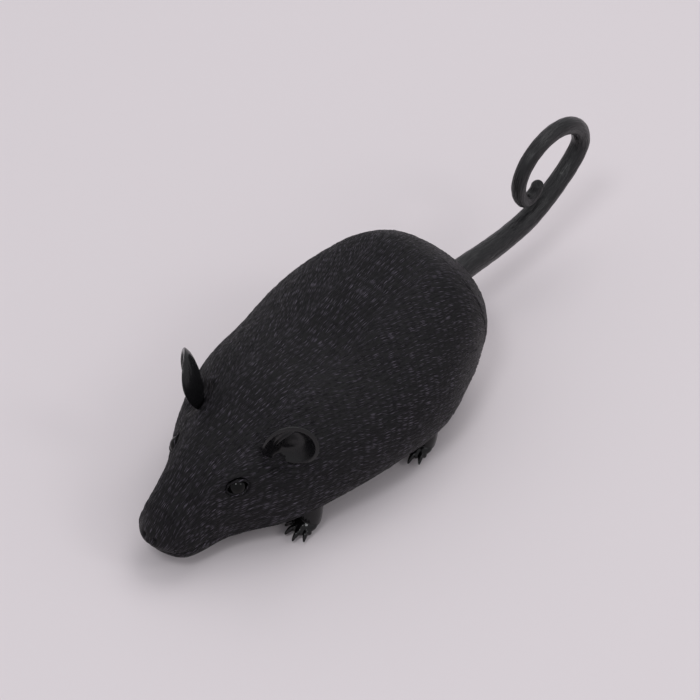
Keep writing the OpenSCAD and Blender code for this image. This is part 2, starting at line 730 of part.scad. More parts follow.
// Wheel hub with a deep rim, a web and a boss pressed on the axle.
module hub() {
    rim_r = wheel_d / 2 - tyre_t;
    translate([wheel_x, axle_y, axle_z]) rotate([0, 90, 0]) difference() {
        cylinder(r = rim_r, h = wheel_w);
        translate([0, 0, wheel_w - 1.6]) difference() {
            cylinder(r = rim_r - 1.4, h = 2);
            translate([0, 0, -1]) cylinder(r = axle_d / 2 + 1.6, h = 4);
        }
        translate([0, 0, -1]) cylinder(d = axle_d, h = wheel_w + 2);
        for (k = [0 : 4]) rotate([0, 0, 72 * k]) translate([rim_r * 0.58, 0, -1]) cylinder(r = 1.4, h = wheel_w + 2);
    }
}

module tyre() {
    translate([wheel_x, axle_y, axle_z]) rotate([0, 90, 0]) rotate_extrude()
        translate([wheel_d / 2 - tyre_t, 0]) polygon([[0, 0], [tyre_t - 0.5, 0], [tyre_t, 0.5],
            [tyre_t, wheel_w - 0.5], [tyre_t - 0.5, wheel_w], [0, wheel_w]]);
}

module left_hub() {
    color(nylon) placed() hub();
}

module right_hub() {
    color(nylon) placed() mirror([1, 0, 0]) hub();
}

module left_tyre() {
    color(tyre_black) placed() tyre();
}

module right_tyre() {
    color(tyre_black) placed() mirror([1, 0, 0]) tyre();
}

module roller_axle() {
    color(steel) placed() translate([0, roller_y, roller_z]) rotate([0, 90, 0])
        cylinder(r = roller_axle_r, h = roller_w + 2 * block_t + 2.4, center = true);
}

module front_roller() {
    color(nylon) placed() translate([0, roller_y, roller_z]) rotate([0, 90, 0]) difference() {
        rotate_extrude() polygon([[0, -roller_w / 2], [roller_d / 2 - 0.6, -roller_w / 2],
            [roller_d / 2, -roller_w / 2 + 0.6], [roller_d / 2, roller_w / 2 - 0.6],
            [roller_d / 2 - 0.6, roller_w / 2], [0, roller_w / 2]]);
        cylinder(r = roller_axle_r + run_fit, h = 2 * roller_w, center = true);
    }
}

body_shell();
base_plate();
left_ear();
right_ear();
left_eye();
right_eye();
front_left_foot();
front_right_foot();
rear_left_foot();
rear_right_foot();
left_motor_plate();
right_motor_plate();
mid_bridge();
rear_bridge();
motor_pillars();
spring_post();
mainspring();
motor_screws();
shell_screws();
tail_bush();
crown_wheel();
click_spring();
click_rivet();
winding_arbor();
ratchet_wheel();
arbor_clip();
tail();
tail_pin();
second_shaft();
second_pinion();
second_wheel();
drive_axle();
axle_pinion();
left_hub();
right_hub();
left_tyre();
right_tyre();
roller_axle();
front_roller();
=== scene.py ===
"""Looks of the clockwork mouse: engraved fur shell, glossy ears, feet and tail, and the wind-up motor."""

import logging
import math
from dataclasses import dataclass
from enum import Enum
from typing import Any, Sequence

import bpy
import numpy as np
from mathutils import Matrix, Vector


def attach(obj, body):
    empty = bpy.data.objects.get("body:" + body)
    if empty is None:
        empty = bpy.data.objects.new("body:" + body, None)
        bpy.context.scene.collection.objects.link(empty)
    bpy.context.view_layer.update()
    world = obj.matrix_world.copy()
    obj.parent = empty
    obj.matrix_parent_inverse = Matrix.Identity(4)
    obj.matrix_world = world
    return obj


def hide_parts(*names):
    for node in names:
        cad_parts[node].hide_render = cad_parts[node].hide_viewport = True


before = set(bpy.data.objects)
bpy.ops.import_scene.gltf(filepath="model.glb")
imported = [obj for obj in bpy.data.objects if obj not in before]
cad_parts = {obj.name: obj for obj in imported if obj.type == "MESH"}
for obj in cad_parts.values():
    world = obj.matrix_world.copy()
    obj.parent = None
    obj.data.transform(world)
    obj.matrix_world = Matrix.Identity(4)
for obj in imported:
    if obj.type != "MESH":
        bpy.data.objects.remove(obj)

MM = 0.001
TURN = 2 * math.pi
LOG = logging.getLogger("mouse")


class Side(Enum):
    """The mouse's own left is +X, its right is -X."""

    LEFT = 1
    RIGHT = -1


class Body(Enum):
    """Moving bodies of the mechanism that new pieces ride on."""

    CHASSIS = "chassis"
    WINDING_TAIL = "winding_tail"
    DRIVE_WHEELS = "drive_wheels"
    ROLLER = "roller"


# ---------------------------------------------------------------- surfaces


def smooth(x: np.ndarray, low: float, high: float) -> np.ndarray:
    """Ease from 0 to 1 as x goes from low to high: 3s^2 - 2s^3.

    Args:
        x: Values to ease.
        low: Value that gives 0.
        high: Value that gives 1.

    Returns:
        The eased values.
    """
    s = np.clip((x - low) / (high - low), 0, 1)
    return s * s * (3 - 2 * s)


def hump(x: np.ndarray, middle: float, width: float) -> np.ndarray:
    """Bell of height 1 about middle: exp(-((x - middle) / width)^2)."""
    return np.exp(-(((x - middle) / width) ** 2))


def unit(v: Sequence[float] | np.ndarray) -> np.ndarray:
    """Vectors along the last axis, each divided by its length."""
    v = np.asarray(v, float)
    return v / np.maximum(np.linalg.norm(v, axis=-1, keepdims=True), 1e-12)


def run_of(path: np.ndarray) -> np.ndarray:
    """Distance along a path at each of its points, from 0."""
    return np.concatenate([[0], np.cumsum(np.linalg.norm(np.diff(path, axis=0), axis=1))])


def rounding(d: np.ndarray, radius: float) -> np.ndarray:
    """Share of full size at a distance d from a round end: sqrt(1 - (1 - d/r)^2), 1 past the radius."""
    return np.sqrt(np.maximum(1 - (1 - np.minimum(d / radius, 1)) ** 2, 0))


def heading(degrees: float) -> np.ndarray:
    """Unit direction (y, z) at an angle above straight back."""
    return np.array([math.cos(math.radians(degrees)), math.sin(math.radians(degrees))])


def towards(azimuth: float, elevation: float) -> Vector:
    """Unit direction from the mouse: azimuth round it from the nose's side, elevation above the floor."""
    flat = math.cos(elevation)
    return Vector((math.sin(azimuth) * flat, -math.cos(azimuth) * flat, math.sin(elevation)))


def bezier(points: Sequence[Any], t: np.ndarray) -> np.ndarray:
    """Cubic Bezier: (1-t)^3 a + 3(1-t)^2 t b + 3(1-t) t^2 c + t^3 d.

    Args:
        points: The four control points.
        t: Parameters from 0 to 1.

    Returns:
        One point for each t.
    """
    a, b, c, d = (np.asarray(p, float) for p in points)
    t = t[:, None]
    return a * (1 - t) ** 3 + b * 3 * t * (1 - t) ** 2 + c * 3 * t * t * (1 - t) + d * t**3


def lattice(rows: int, cols: int, wrap: bool = False) -> np.ndarray:
    """Quads between the neighbours of a grid of points stored row by row.

    Args:
        rows: Number of rows of points.
        cols: Number of points in a row.
        wrap: Whether the last point of a row joins the first.

    Returns:
        An array of four point numbers for each quad.
    """
    i = np.arange(rows - 1)[:, None] * cols
    j = np.arange(cols if wrap else cols - 1)[None, :]
    k = (j + 1) % cols
    quads = np.stack(np.broadcast_arrays(i + j, i + k, i + cols + k, i + cols + j), -1)
    return quads.reshape(-1, 4)


@dataclass
class Skin:
    """A closed surface: points, quads (a triangle repeats its last point) and flat coordinates."""

    points: np.ndarray
    quads: np.ndarray
    flat: np.ndarray

    @staticmethod
    def joined(skins: Sequence["Skin"]) -> "Skin":
        """Several surfaces as one."""
        starts = np.cumsum([0] + [len(s.points) for s in skins[:-1]])
        return Skin(
            np.concatenate([s.points for s in skins]),
            np.concatenate([s.quads + n for s, n in zip(skins, starts)]),
            np.concatenate([s.flat for s in skins]),
        )

    def outward(self) -> "Skin":
        """The surface with its faces turned outwards.

        The volume is the sum of a . (b x c) / 6 over both triangles of each quad, which is
        negative where the faces point in.

        Returns:
            The same surface, its quads reversed where needed.
        """
        a, b, c, d = (self.points[self.quads[:, k]] for k in range(4))
        volume = np.einsum("ij,ij->", a, np.cross(b, c)) + np.einsum("ij,ij->", a, np.cross(c, d))
        return self if volume > 0 else Skin(self.points, self.quads[:, ::-1], self.flat)

    def mirrored(self, side: Side) -> "Skin":
        """The surface for that side of the toy, turned outwards again."""
        return Skin(self.points * [side.value, 1, 1], self.quads, self.flat).outward()

    def piece(self, name: str, weld: float = 1e-6) -> bpy.types.Object:
        """Makes the mesh object, with doubles merged, empty faces dropped and smooth shading.

        Args:
            name: The object's name.
            weld: Distance within which points are merged, in metres.

        Returns:
            The object, linked to the scene.
        """
        keys = np.round(self.points / weld).astype(np.int64)
        _, first, renumber = np.unique(keys, axis=0, return_index=True, return_inverse=True)
        quads = renumber.reshape(-1)[self.quads]
        same = quads == np.roll(quads, -1, axis=1)
        kept = same.sum(1) < 2
        kept &= (quads[:, 0] != quads[:, 2]) & (quads[:, 1] != quads[:, 3])
        quads, same, flat = quads[kept], same[kept], self.flat[self.quads[kept]]
        sizes = 4 - same.sum(1)
        corners = quads[~same]
        mesh = bpy.data.meshes.new(name)
        mesh.vertices.add(len(first))
        mesh.vertices.foreach_set("co", self.points[first].astype(np.float32).ravel())
        mesh.loops.add(len(corners))
        mesh.loops.foreach_set("vertex_index", corners.astype(np.int32))
        mesh.polygons.add(len(sizes))
        mesh.polygons.foreach_set("loop_start", np.cumsum([0, *sizes[:-1]]).astype(np.int32))
        mesh.polygons.foreach_set("loop_total", sizes.astype(np.int32))
        mesh.polygons.foreach_set("use_smooth", np.ones(len(sizes), bool))
        mesh.update(calc_edges=True)
        mesh.uv_layers.new(name="flat").data.foreach_set("uv", flat[~same].astype(np.float32).ravel())
        mesh.validate()
        thing = bpy.data.objects.new(name, mesh)
        bpy.context.scene.collection.objects.link(thing)
        return thing


def tube(path: np.ndarray, radius: np.ndarray, sides: int, across: Sequence[float],
         relief: np.ndarray | float = 0.0, squash: float = 1.0) -> Skin:
    """Closed tube along a path: centre + (r + relief) (cos a side + squash sin a other).

    Args:
        path: Points of the centre line.
        radius: Radius at each point.
        sides: Number of points round the tube.
        across: Direction that the angle is counted from, roughly square to the path.
        relief: Height added to the radius, one number for each point and side.
        squash: Share of the radius that is left square to both path and across.

    Returns:
        The tube, with a point at each end.
    """
    along = unit(np.gradient(path, axis=0))
    side = unit(np.asarray(across) - along * (along @ np.asarray(across, float))[:, None])
    other = np.cross(along, side)
    a = np.linspace(0, TURN, sides, endpoint=False)
    r = (radius[:, None] + relief)[..., None]
    ring = np.cos(a)[None, :, None] * side[:, None] + squash * np.sin(a)[None, :, None] * other[:, None]
    grid = path[:, None] + r * ring
    n = len(path)
    points = np.concatenate([grid.reshape(-1, 3), path[[0, -1]]])
    j = np.arange(sides)
    k = (j + 1) % sides
    first, last = np.full(sides, n * sides), np.full(sides, n * sides + 1)
    caps = [np.stack([k, j, first, first], 1),
            np.stack([(n - 1) * sides + j, (n - 1) * sides + k, last, last], 1)]
    run = run_of(path)
    flat = np.stack(np.broadcast_arrays(run[:, None], (a * radius.max())[None, :]), -1).reshape(-1, 2)
    flat = np.concatenate([flat, [[0, 0], [run[-1], 0]]])
    return Skin(points, np.concatenate([lattice(n, sides, wrap=True), *caps]), flat).outward()


def turned(profile: np.ndarray, sides: int, centre: Sequence[float],
           relief: np.ndarray | float = 0.0) -> Skin:
    """Closed ring turned round the X axis: (x, r cos a, r sin a) from a closed profile of (x, r).

    Args:
        profile: Points of the profile, its last joined to its first.
        sides: Number of steps round the axis.
        centre: Middle of the ring.
        relief: Height added to r, one number for each step and profile point.

    Returns:
        The ring.
    """
    a = np.linspace(0, TURN, sides, endpoint=False)[:, None]
    x, r = profile[None, :, 0], profile[None, :, 1] + relief
    grid = np.stack(np.broadcast_arrays(x, r * np.cos(a), r * np.sin(a)), -1)
    n = len(profile)
    quads = lattice(sides + 1, n, wrap=True) % (sides * n)
    flat = np.stack(np.broadcast_arrays(a * 10 * MM, x), -1).reshape(-1, 2)
    return Skin(grid.reshape(-1, 3) + np.asarray(centre), quads, flat).outward()


@dataclass(frozen=True)
class Strands:
    """Field of short raised strands in rows of cells, each strand turned and shifted a little.

    The height at a point is the greatest, over the neighbouring cells, of
    (1 - across^2) * rise(along), where along and across are measured in each strand's own
    turned frame as shares of its half length and half width.
    """

    length: float
    width: float
    seed: int
    turn: float = 0.15
    step_share: float = 0.72
    row_share: float = 0.8

    def height(self, p: np.ndarray, q: np.ndarray, lean: np.ndarray | float = 0.0) -> np.ndarray:
        """Height of the strands from 0 to 1.

        Args:
            p: Distance along the flow.
            q: Distance across the flow.
            lean: Angle of the strands to the flow, in radians.

        Returns:
            The height at each point.
        """
        chance = np.random.default_rng(self.seed).random((4, 97, 101))
        cell_p, cell_q = self.length * self.step_share, self.width * self.row_share
        j0 = np.floor(q / cell_q).astype(int)
        high = np.zeros(np.broadcast(p, q).shape)
        for dj in range(-2, 3):
            j = j0 + dj
            stagger = (j % 2) * 0.5 + 0.3 * chance[3, j % 97, 7]
            i0 = np.floor(p / cell_p - stagger).astype(int)
            for di in range(-1, 2):
                i = i0 + di
                rand = chance[:, j % 97, i % 101]
                dp = p - (i + stagger + 0.25 + 0.5 * rand[0]) * cell_p
                dq = q - (j + 0.3 + 0.4 * rand[1]) * cell_q
                angle = lean + (rand[2] - 0.5) * 2 * self.turn
                along = (dp * np.cos(angle) + dq * np.sin(angle)) / (self.length / 2)
                across = (dq * np.cos(angle) - dp * np.sin(angle)) / (self.width / 2)
                taper = np.clip(1 - along**2, 0, 1) ** 0.6 * (1 + 0.25 * along)
                size = 0.55 + 0.45 * rand[3]
                high = np.maximum(high, size * taper * np.clip(1 - across**2, 0, 1))
        return high


# ---------------------------------------------------------------- shader tools


@dataclass(frozen=True)
class Value:
    """A number in a material's node tree, on which arithmetic adds Math nodes."""

    graph: "Graph"
    socket: bpy.types.NodeSocket

    def __add__(self, other: "Value | float") -> "Value":
        """Sum."""
        return self.graph.math("ADD", self, other)

    __radd__ = __add__

    def __sub__(self, other: "Value | float") -> "Value":
        """Difference."""
        return self.graph.math("SUBTRACT", self, other)

    def __rsub__(self, other: float) -> "Value":
        """Difference from a number."""
        return self.graph.math("SUBTRACT", other, self)

    def __mul__(self, other: "Value | float") -> "Value":
        """Product."""
        return self.graph.math("MULTIPLY", self, other)

    __rmul__ = __mul__

    def __truediv__(self, other: "Value | float") -> "Value":
        """Quotient."""
        return self.graph.math("DIVIDE", self, other)

    def size(self) -> "Value":
        """Absolute value."""
        return self.graph.math("ABSOLUTE", self)

    def eased(self, low: float, high: float) -> "Value":
        """Smooth step from 0 at low to 1 at high."""
        made = self.graph.node("ShaderNodeMapRange", {"interpolation_type": "SMOOTHSTEP"},
                               {"Value": self, "From Min": low, "From Max": high})
        return Value(self.graph, made.outputs["Result"])


class Graph:
    """Node tree of one material, ending in a Principled shader."""

    def __init__(self, name: str) -> None:
        """Starts an empty material of that name."""
        self.material = bpy.data.materials.new(name)
        self.material.use_nodes = True
        self.tree = self.material.node_tree
        self.tree.nodes.clear()

    def node(self, kind: str, settings: dict[str, Any] | None = None,
             inputs: dict[str | int, Any] | None = None) -> bpy.types.Node:
        """Adds a node.

        Args:
            kind: The node's type.
            settings: Properties of the node, set before its sockets.
            inputs: Numbers, tuples, sockets or Values for its input sockets.

        Returns:
            The node.
        """
        made = self.tree.nodes.new(kind)
        for key, value in (settings or {}).items():
            setattr(made, key, value)
        for key, value in (inputs or {}).items():
            value = value.socket if isinstance(value, Value) else value
            if isinstance(value, bpy.types.NodeSocket):
                self.tree.links.new(value, made.inputs[key])
            else:
                made.inputs[key].default_value = value
        return made

    def math(self, operation: str, *terms: "Value | float") -> Value:
        """A Math node on values and numbers."""
        made = self.node("ShaderNodeMath", {"operation": operation}, dict(enumerate(terms)))
        return Value(self, made.outputs[0])

    def place(self) -> bpy.types.NodeSocket:
        """Object coordinates, in metres."""
        return self.node("ShaderNodeTexCoord").outputs["Object"]

    def flat(self) -> tuple[Value, Value]:
        """The piece's own flat coordinates, in metres."""
        at = self.node("ShaderNodeUVMap", {"uv_map": "flat"}).outputs["UV"]
        parts = self.node("ShaderNodeSeparateXYZ", None, {0: at})
        return Value(self, parts.outputs[0]), Value(self, parts.outputs[1])

    def vector(self, x: Value | float, y: Value | float, z: Value | float = 0.0) -> bpy.types.NodeSocket:
        """A vector from its three parts."""
        return self.node("ShaderNodeCombineXYZ", None, {0: x, 1: y, 2: z}).outputs[0]

    def stretched(self, at: bpy.types.NodeSocket, factors: Sequence[float]) -> bpy.types.NodeSocket:
        """The coordinates, each multiplied by its factor."""
        made = self.node("ShaderNodeVectorMath", {"operation": "MULTIPLY"}, {0: at, 1: tuple(factors)})
        return made.outputs[0]

    def noise(self, at: bpy.types.NodeSocket, scale: float, detail: float = 4.0,
              roughness: float = 0.55) -> Value:
        """Noise from 0 to 1 at that many cells to a metre."""
        made = self.node("ShaderNodeTexNoise", None,
                         {"Vector": at, "Scale": scale, "Detail": detail, "Roughness": roughness})
        return Value(self, made.outputs[0])

    def cells(self, at: bpy.types.NodeSocket, scale: float) -> tuple[Value, Value]:
        """Distance to the nearest of scattered points, and a random number for each cell."""
        made = self.node("ShaderNodeTexVoronoi", None, {"Vector": at, "Scale": scale, "Randomness": 0.9})
        shade = self.node("ShaderNodeSeparateXYZ", None, {0: made.outputs["Color"]})
        return Value(self, made.outputs["Distance"]), Value(self, shade.outputs[0])

    def mixed(self, share: Value, a: Any, b: Any) -> bpy.types.NodeSocket:
        """Colour between a and b."""
        made = self.node("ShaderNodeMix", {"data_type": "RGBA"}, {0: share, 6: a, 7: b})
        return made.outputs[2]

    def bumped(self, height: Value, depth: float, strength: float = 1.0) -> bpy.types.NodeSocket:
        """Normal tilted by a height whose full range is depth metres."""
        made = self.node("ShaderNodeBump", None,
                         {"Height": height, "Distance": depth, "Strength": strength})
        return made.outputs[0]

    def ended(self, inputs: dict[str, Any]) -> bpy.types.Material:
        """Ends the tree in a Principled shader with these inputs."""
        shader = self.node("ShaderNodeBsdfPrincipled", None, inputs)
        self.node("ShaderNodeOutputMaterial", None, {"Surface": shader.outputs[0]})
        return self.material


def tone(r: float, g: float, b: float) -> tuple[float, float, float, float]:
    """An opaque colour."""
    return (r, g, b, 1.0)


# ---------------------------------------------------------------- finishes


@dataclass(frozen=True)
class FurFinish:
    """Satin charcoal plastic with moulded hair strokes that follow the body's flow; the strokes carry a
    painted highlight, a light tone over the near-black base.
    """

    name: str = "engraved_fur"
    groove: tuple[float, float, float, float] = tone(0.0020, 0.0017, 0.0024)
    # The strand tone is a painted highlight: a light colour that stands in for glints on the hair strokes.
    strand_glint: tuple[float, float, float, float] = tone(0.135, 0.120, 0.150)
    length: float = 2.2 * MM
    width: float = 0.31 * MM
    depth: float = 0.42 * MM

    def layer(self, g: Graph, p: Value, q: Value, lean: float, wave: Value) -> tuple[Value, Value]:
        """One set of strokes at an angle to the flow: height and a random number of each stroke."""
        c, s = math.cos(lean), math.sin(lean)
        along = (p * c + q * s) / self.length
        across = (q * c - p * s) / self.width + wave
        gap, luck = g.cells(g.vector(along, across), 1.0)
        return 1 - gap.eased(0.1, 0.62), luck

    def made(self) -> bpy.types.Material:
        """Builds the material: strokes near the spine run straight back, those on the flanks lean down."""
        g = Graph(self.name)
        p, q = g.flat()
        q = q.size()
        at = g.place()
        wave = g.noise(at, 90, 3.0) * 7
        straight, luck_a = self.layer(g, p, q, 0.08, wave)
        leaning, luck_b = self.layer(g, p, q, 0.42, wave)
        flank = (q + g.noise(at, 60) * 8 * MM).eased(10 * MM, 18 * MM)
        height = straight + (leaning - straight) * flank
        luck = luck_a + (luck_b - luck_a) * flank
        grain = g.noise(at, 5200, 3.0)
        cloud = g.noise(at, 45, 5.0)
        # Painted highlight: share of the light strand tone, high on raised strokes that draw a high random
        # number, standing in for glints on the strokes' crests.
        share = height * (0.08 + 0.92 * luck.eased(0.2, 1.0)) * (0.20 + 1.2 * cloud)
        rough = 0.40 + 0.12 * cloud + 0.08 * grain - 0.16 * height * luck
        bump = height * (0.55 + 0.45 * luck) + grain * 0.12
        return g.ended({
            "Base Color": g.mixed(share, self.groove, self.strand_glint),
            "Roughness": rough,
            "IOR": 1.5,
            "Specular IOR Level": 0.2,
            "Normal": g.bumped(bump, self.depth),
        })


@dataclass(frozen=True)
class MouldedFinish:
    """Moulded plastic: a tone with faint mottling, fine grain, smudges and scuffs."""

    name: str
    colour: tuple[float, float, float, float]
    worn: tuple[float, float, float, float]
    shine: float = 0.25
    spread: float = 0.15
    grain: float = 0.02 * MM
    grain_scale: float = 2500.0
    mirror: float = 0.5

    def made(self) -> bpy.types.Material:
        """Builds the material: low noise for smudges, thin stretched noise for scuffs."""
        g = Graph(self.name)
        at = g.place()
        smudge = g.noise(at, 120, 6.0)
        fine = g.noise(at, self.grain_scale, 2.0)
        scuff = g.noise(g.stretched(at, (1.0, 6.0, 2.0)), 700, 3.0).eased(0.62, 0.75)
        share = smudge * 0.5 + scuff * 0.5
        rough = self.shine + self.spread * smudge.eased(0.35, 0.7) + 0.12 * scuff
        return g.ended({
            "Base Color": g.mixed(share, self.colour, self.worn),
            "Roughness": rough,
            "Specular IOR Level": self.mirror,
            "Normal": g.bumped(fine + smudge * 2, self.grain),
        })


@dataclass(frozen=True)
class TailFinish:
    """Glossy black plastic with fine waved strokes that run along the piece; their crests carry a painted
    highlight.
    """

    name: str = "stroked_gloss"
    groove: tuple[float, float, float, float] = tone(0.003, 0.003, 0.0035)
    # The crest tone is a painted highlight: a lighter colour on the strokes' crests that stands in for their
    # sheen.
    crest_highlight: tuple[float, float, float, float] = tone(0.011, 0.0105, 0.012)
    length: float = 5.0 * MM
    width: float = 0.5 * MM

    def made(self) -> bpy.types.Material:
        """Builds the material: stretched cells on the piece's flat coordinates."""
        g = Graph(self.name)
        p, q = g.flat()
        at = g.place()
        wave = g.noise(at, 110, 2.0) * 5
        gap, luck = g.cells(g.vector(p / self.length, q / self.width + wave), 1.0)
        height = 1 - gap.eased(0.1, 0.8)
        smudge = g.noise(at, 160, 5.0)
        # Painted highlight: the raised crests are mixed towards the lighter crest tone.
        return g.ended({
            "Base Color": g.mixed(height * (0.3 + 0.7 * luck), self.groove, self.crest_highlight),
            "Roughness": 0.24 + 0.16 * smudge + 0.06 * luck,
            "Specular IOR Level": 0.38,
            "Normal": g.bumped(height, 0.09 * MM, 1.0),
        })


@dataclass(frozen=True)
class MetalFinish:
    """Metal with grain drawn out along one axis, tarnish clouds and worn patches."""

    name: str
    colour: tuple[float, float, float, float]
    tarnish: tuple[float, float, float, float]
    grain: tuple[float, float, float] = (1.0, 14.0, 1.0)
    shine: float = 0.25

    def made(self) -> bpy.types.Material:
        """Builds the material: stretched noise for the grain, low noise for tarnish."""
        g = Graph(self.name)
        at = g.place()
        lines = g.noise(g.stretched(at, self.grain), 900, 5.0)
        cloud = g.noise(at, 210, 6.0)
        share = cloud.eased(0.4, 0.75) * 0.7 + lines * 0.2
        return g.ended({
            "Base Color": g.mixed(share, self.colour, self.tarnish),
            "Metallic": 1.0,
            "Roughness": self.shine + 0.18 * cloud + 0.14 * lines,
            "Normal": g.bumped(lines, 0.015 * MM),
        })


@dataclass(frozen=True)
class FloorFinish:
    """Pale, faintly pink studio paper."""

    name: str = "studio_paper"
    colour: tuple[float, float, float, float] = tone(0.70, 0.655, 0.672)

    def made(self) -> bpy.types.Material:
        """Builds the material: even tone with a soft fibre."""
        g = Graph(self.name)
        fibre = g.noise(g.place(), 40, 4.0)
        rough = 0.75 + 0.1 * fibre
        return g.ended({"Base Color": self.colour, "Roughness": rough, "IOR": 1.2})


# ---------------------------------------------------------------- the body's form


@dataclass(frozen=True)
class MouseForm:
    """The body's outer surface, the same as the CAD shell's: sections swept from snout to rump."""

    length: float = 130 * MM
    width: float = 67 * MM
    height: float = 51 * MM
    snout_round: float = 7 * MM
    rump_round: float = 24 * MM
    skirt: float = 7 * MM
    base_top: float = 8.8 * MM
    wall: float = 1.8 * MM
    rim: float = 1.6 * MM
    shift: float = -31.9804 * MM
    bulge_side: float = 0.9
    bulge_up: float = 0.95
    bulge_down: float = 0.8
    stations: tuple[float, ...] = (0, 0.06, 0.15, 0.27, 0.40, 0.55, 0.70, 0.85, 1)
    half_share: tuple[float, ...] = (0.21, 0.285, 0.395, 0.71, 0.88, 1, 1, 0.85, 0.81)
    top_share: tuple[float, ...] = (0.37, 0.465, 0.63, 0.70, 0.79, 0.81, 0.92, 1, 0.88)
    mid_share: tuple[float, ...] = (0.25, 0.18, 0.195, 0.265, 0.36, 0.36, 0.40, 0.47, 0.51)
    low_share: tuple[float, ...] = (0.16, 0.07, 0.10, 0.09, 0.07, 0.07, 0.06, 0.07, 0.16)

    def along(self, shares: Sequence[float], u: np.ndarray) -> np.ndarray:
        """Cubic Hermite curve through the shares at the stations.

        Each slope is the difference of the two neighbours over the distance between them.

        Args:
            shares: One share for each station.
            u: Places along the body from 0 to 1.

        Returns:
            The share at each place.
        """
        us, vs = np.asarray(self.stations, float), np.asarray(shares, float)
        n = len(us)
        before, after = np.maximum(np.arange(n) - 1, 0), np.minimum(np.arange(n) + 1, n - 1)
        slope = (vs[after] - vs[before]) / (us[after] - us[before])
        i = np.clip(np.searchsorted(us, u, "right") - 1, 0, n - 2)
        h = us[i + 1] - us[i]
        s = (u - us[i]) / h
        return (vs[i] * (1 + 2 * s) * (1 - s) ** 2 + vs[i + 1] * s * s * (3 - 2 * s)
                + slope[i] * h * s * (1 - s) ** 2 - slope[i + 1] * h * s * s * (1 - s))

    def ends(self, u: np.ndarray) -> np.ndarray:
        """Share of the section that is left where snout and rump round off."""
        snout = rounding(u * self.length, self.snout_round)
        return snout * rounding((1 - u) * self.length, self.rump_round)

    def sizes(self, u: np.ndarray) -> tuple[np.ndarray, np.ndarray, np.ndarray, np.ndarray]:
        """Half width, crown, middle and belly levels at each place."""
        return (self.along(self.half_share, u) * self.width / 2,
                self.along(self.top_share, u) * self.height,
                self.along(self.mid_share, u) * self.height,
                self.along(self.low_share, u) * self.height)

    def skin(self, u: np.ndarray, a: np.ndarray, inset: float = 0.0) -> np.ndarray:
        """Points of the surface.

        x = half cos(a)^side, z = middle + up sin(a)^top above or down |sin(a)|^bottom below it, each
        power being that direction's bulge and each span shrunk by the end rounding and the inset.

        Args:
            u: Places along the body.
            a: Angles round the section, 0 at the left and a quarter turn at the crown.
            inset: Distance that the surface is moved in.

        Returns:
            One point for each pair of place and angle.
        """
        f = self.ends(u)
        half, top, mid, low = self.sizes(u)
        c, s = np.cos(a), np.sin(a)
        up = (top - mid - inset) * f * np.abs(s) ** self.bulge_up
        down = (mid - low - inset) * f * np.abs(s) ** self.bulge_down
        x = (half - inset) * f * np.sign(c) * np.abs(c) ** self.bulge_side
        y = (u - 0.5) * (self.length - 2 * inset) + self.shift
        z = mid + np.where(s > 0, up, -down)
        return np.stack(np.broadcast_arrays(x, y, z), -1)

    def normal(self, u: float, a: float) -> np.ndarray:
        """Outward direction at one point of the surface."""
        du, da = 0.004, 0.01
        lengthwise = self.skin(np.array(u - du), np.array(a)) - self.skin(np.array(u + du), np.array(a))
        crosswise = self.skin(np.array(u), np.array(a + da)) - self.skin(np.array(u), np.array(a - da))
        return unit(np.cross(crosswise, lengthwise))

    def share_below(self, u: np.ndarray, level: float, inset: float = 0.0) -> np.ndarray:
        """Share of the section's depth that lies between its middle and a level; 1 or more is clear of it."""
        _, _, mid, low = self.sizes(u)
        return (mid - level) / np.maximum((mid - low - inset) * self.ends(u), 1e-9)

    def edge_angle(self, u: np.ndarray, level: float, inset: float = 0.0) -> np.ndarray:
        """Angle below the left side at which the section meets a level: asin(-share^(1/bulge))."""
        share = np.clip(self.share_below(u, level, inset), 0, 1)
        return -np.arcsin(share ** (1 / self.bulge_down))

    def open_span(self, level: float, inset: float = 0.0) -> tuple[float, float]:
        """First and last place whose section reaches down to a level.

        Both ends are halved 50 times between a place that is clear and one that is not.

        Args:
            level: Height of the cut.
            inset: Distance that the surface is moved in.

        Returns:
            The two places.
        """
        lo, hi = np.array([1e-6, 1 - 1e-6]), np.array([0.5, 0.5])
        for _ in range(50):
            m = (lo + hi) / 2
            clear = self.share_below(m, level, inset) >= 1
            lo, hi = np.where(clear, m, lo), np.where(clear, hi, m)
        return float(hi[0]), float(hi[1])

    def edge_half(self, u: np.ndarray) -> np.ndarray:
        """Half width of the lower edge: half (1 - share^(2/down))^(side/2), from share_below."""
        share = np.clip(self.share_below(u, self.skirt), 0, 1)
        spread = (1 - share ** (2 / self.bulge_down)) ** (self.bulge_side / 2)
        return self.sizes(u)[0] * self.ends(u) * spread

    def skirt_half(self, y: float) -> float:
        """Half width of the lower edge at a distance y behind the body's middle."""
        return float(self.edge_half(np.array(y / self.length + 0.5)))

    def rump_depth(self, x: np.ndarray, z: np.ndarray) -> np.ndarray:
        """Y of the rump's surface behind points given by x and z.

        The place u is halved 40 times until (x / half)^(2/side) + (height / span)^(2/e) is 1,
        with e the bulge above or below the middle.

        Args:
            x: Distances to the left.
            z: Heights.

        Returns:
            The y of each point.
        """
        lo, hi = np.full(x.shape, 0.80), np.full(x.shape, 1 - 1e-7)
        for _ in range(40):
            u = (lo + hi) / 2
            half, top, mid, low = self.sizes(u)
            f = self.ends(u)
            above = z > mid
            span = np.where(above, top - mid, mid - low) * f
            power = np.where(above, 2 / self.bulge_up, 2 / self.bulge_down)
            total = (np.abs(x) / (half * f)) ** (2 / self.bulge_side) + (np.abs(z - mid) / span) ** power
            lo, hi = np.where(total < 1, u, lo), np.where(total < 1, hi, u)
        return (lo - 0.5) * self.length + self.shift


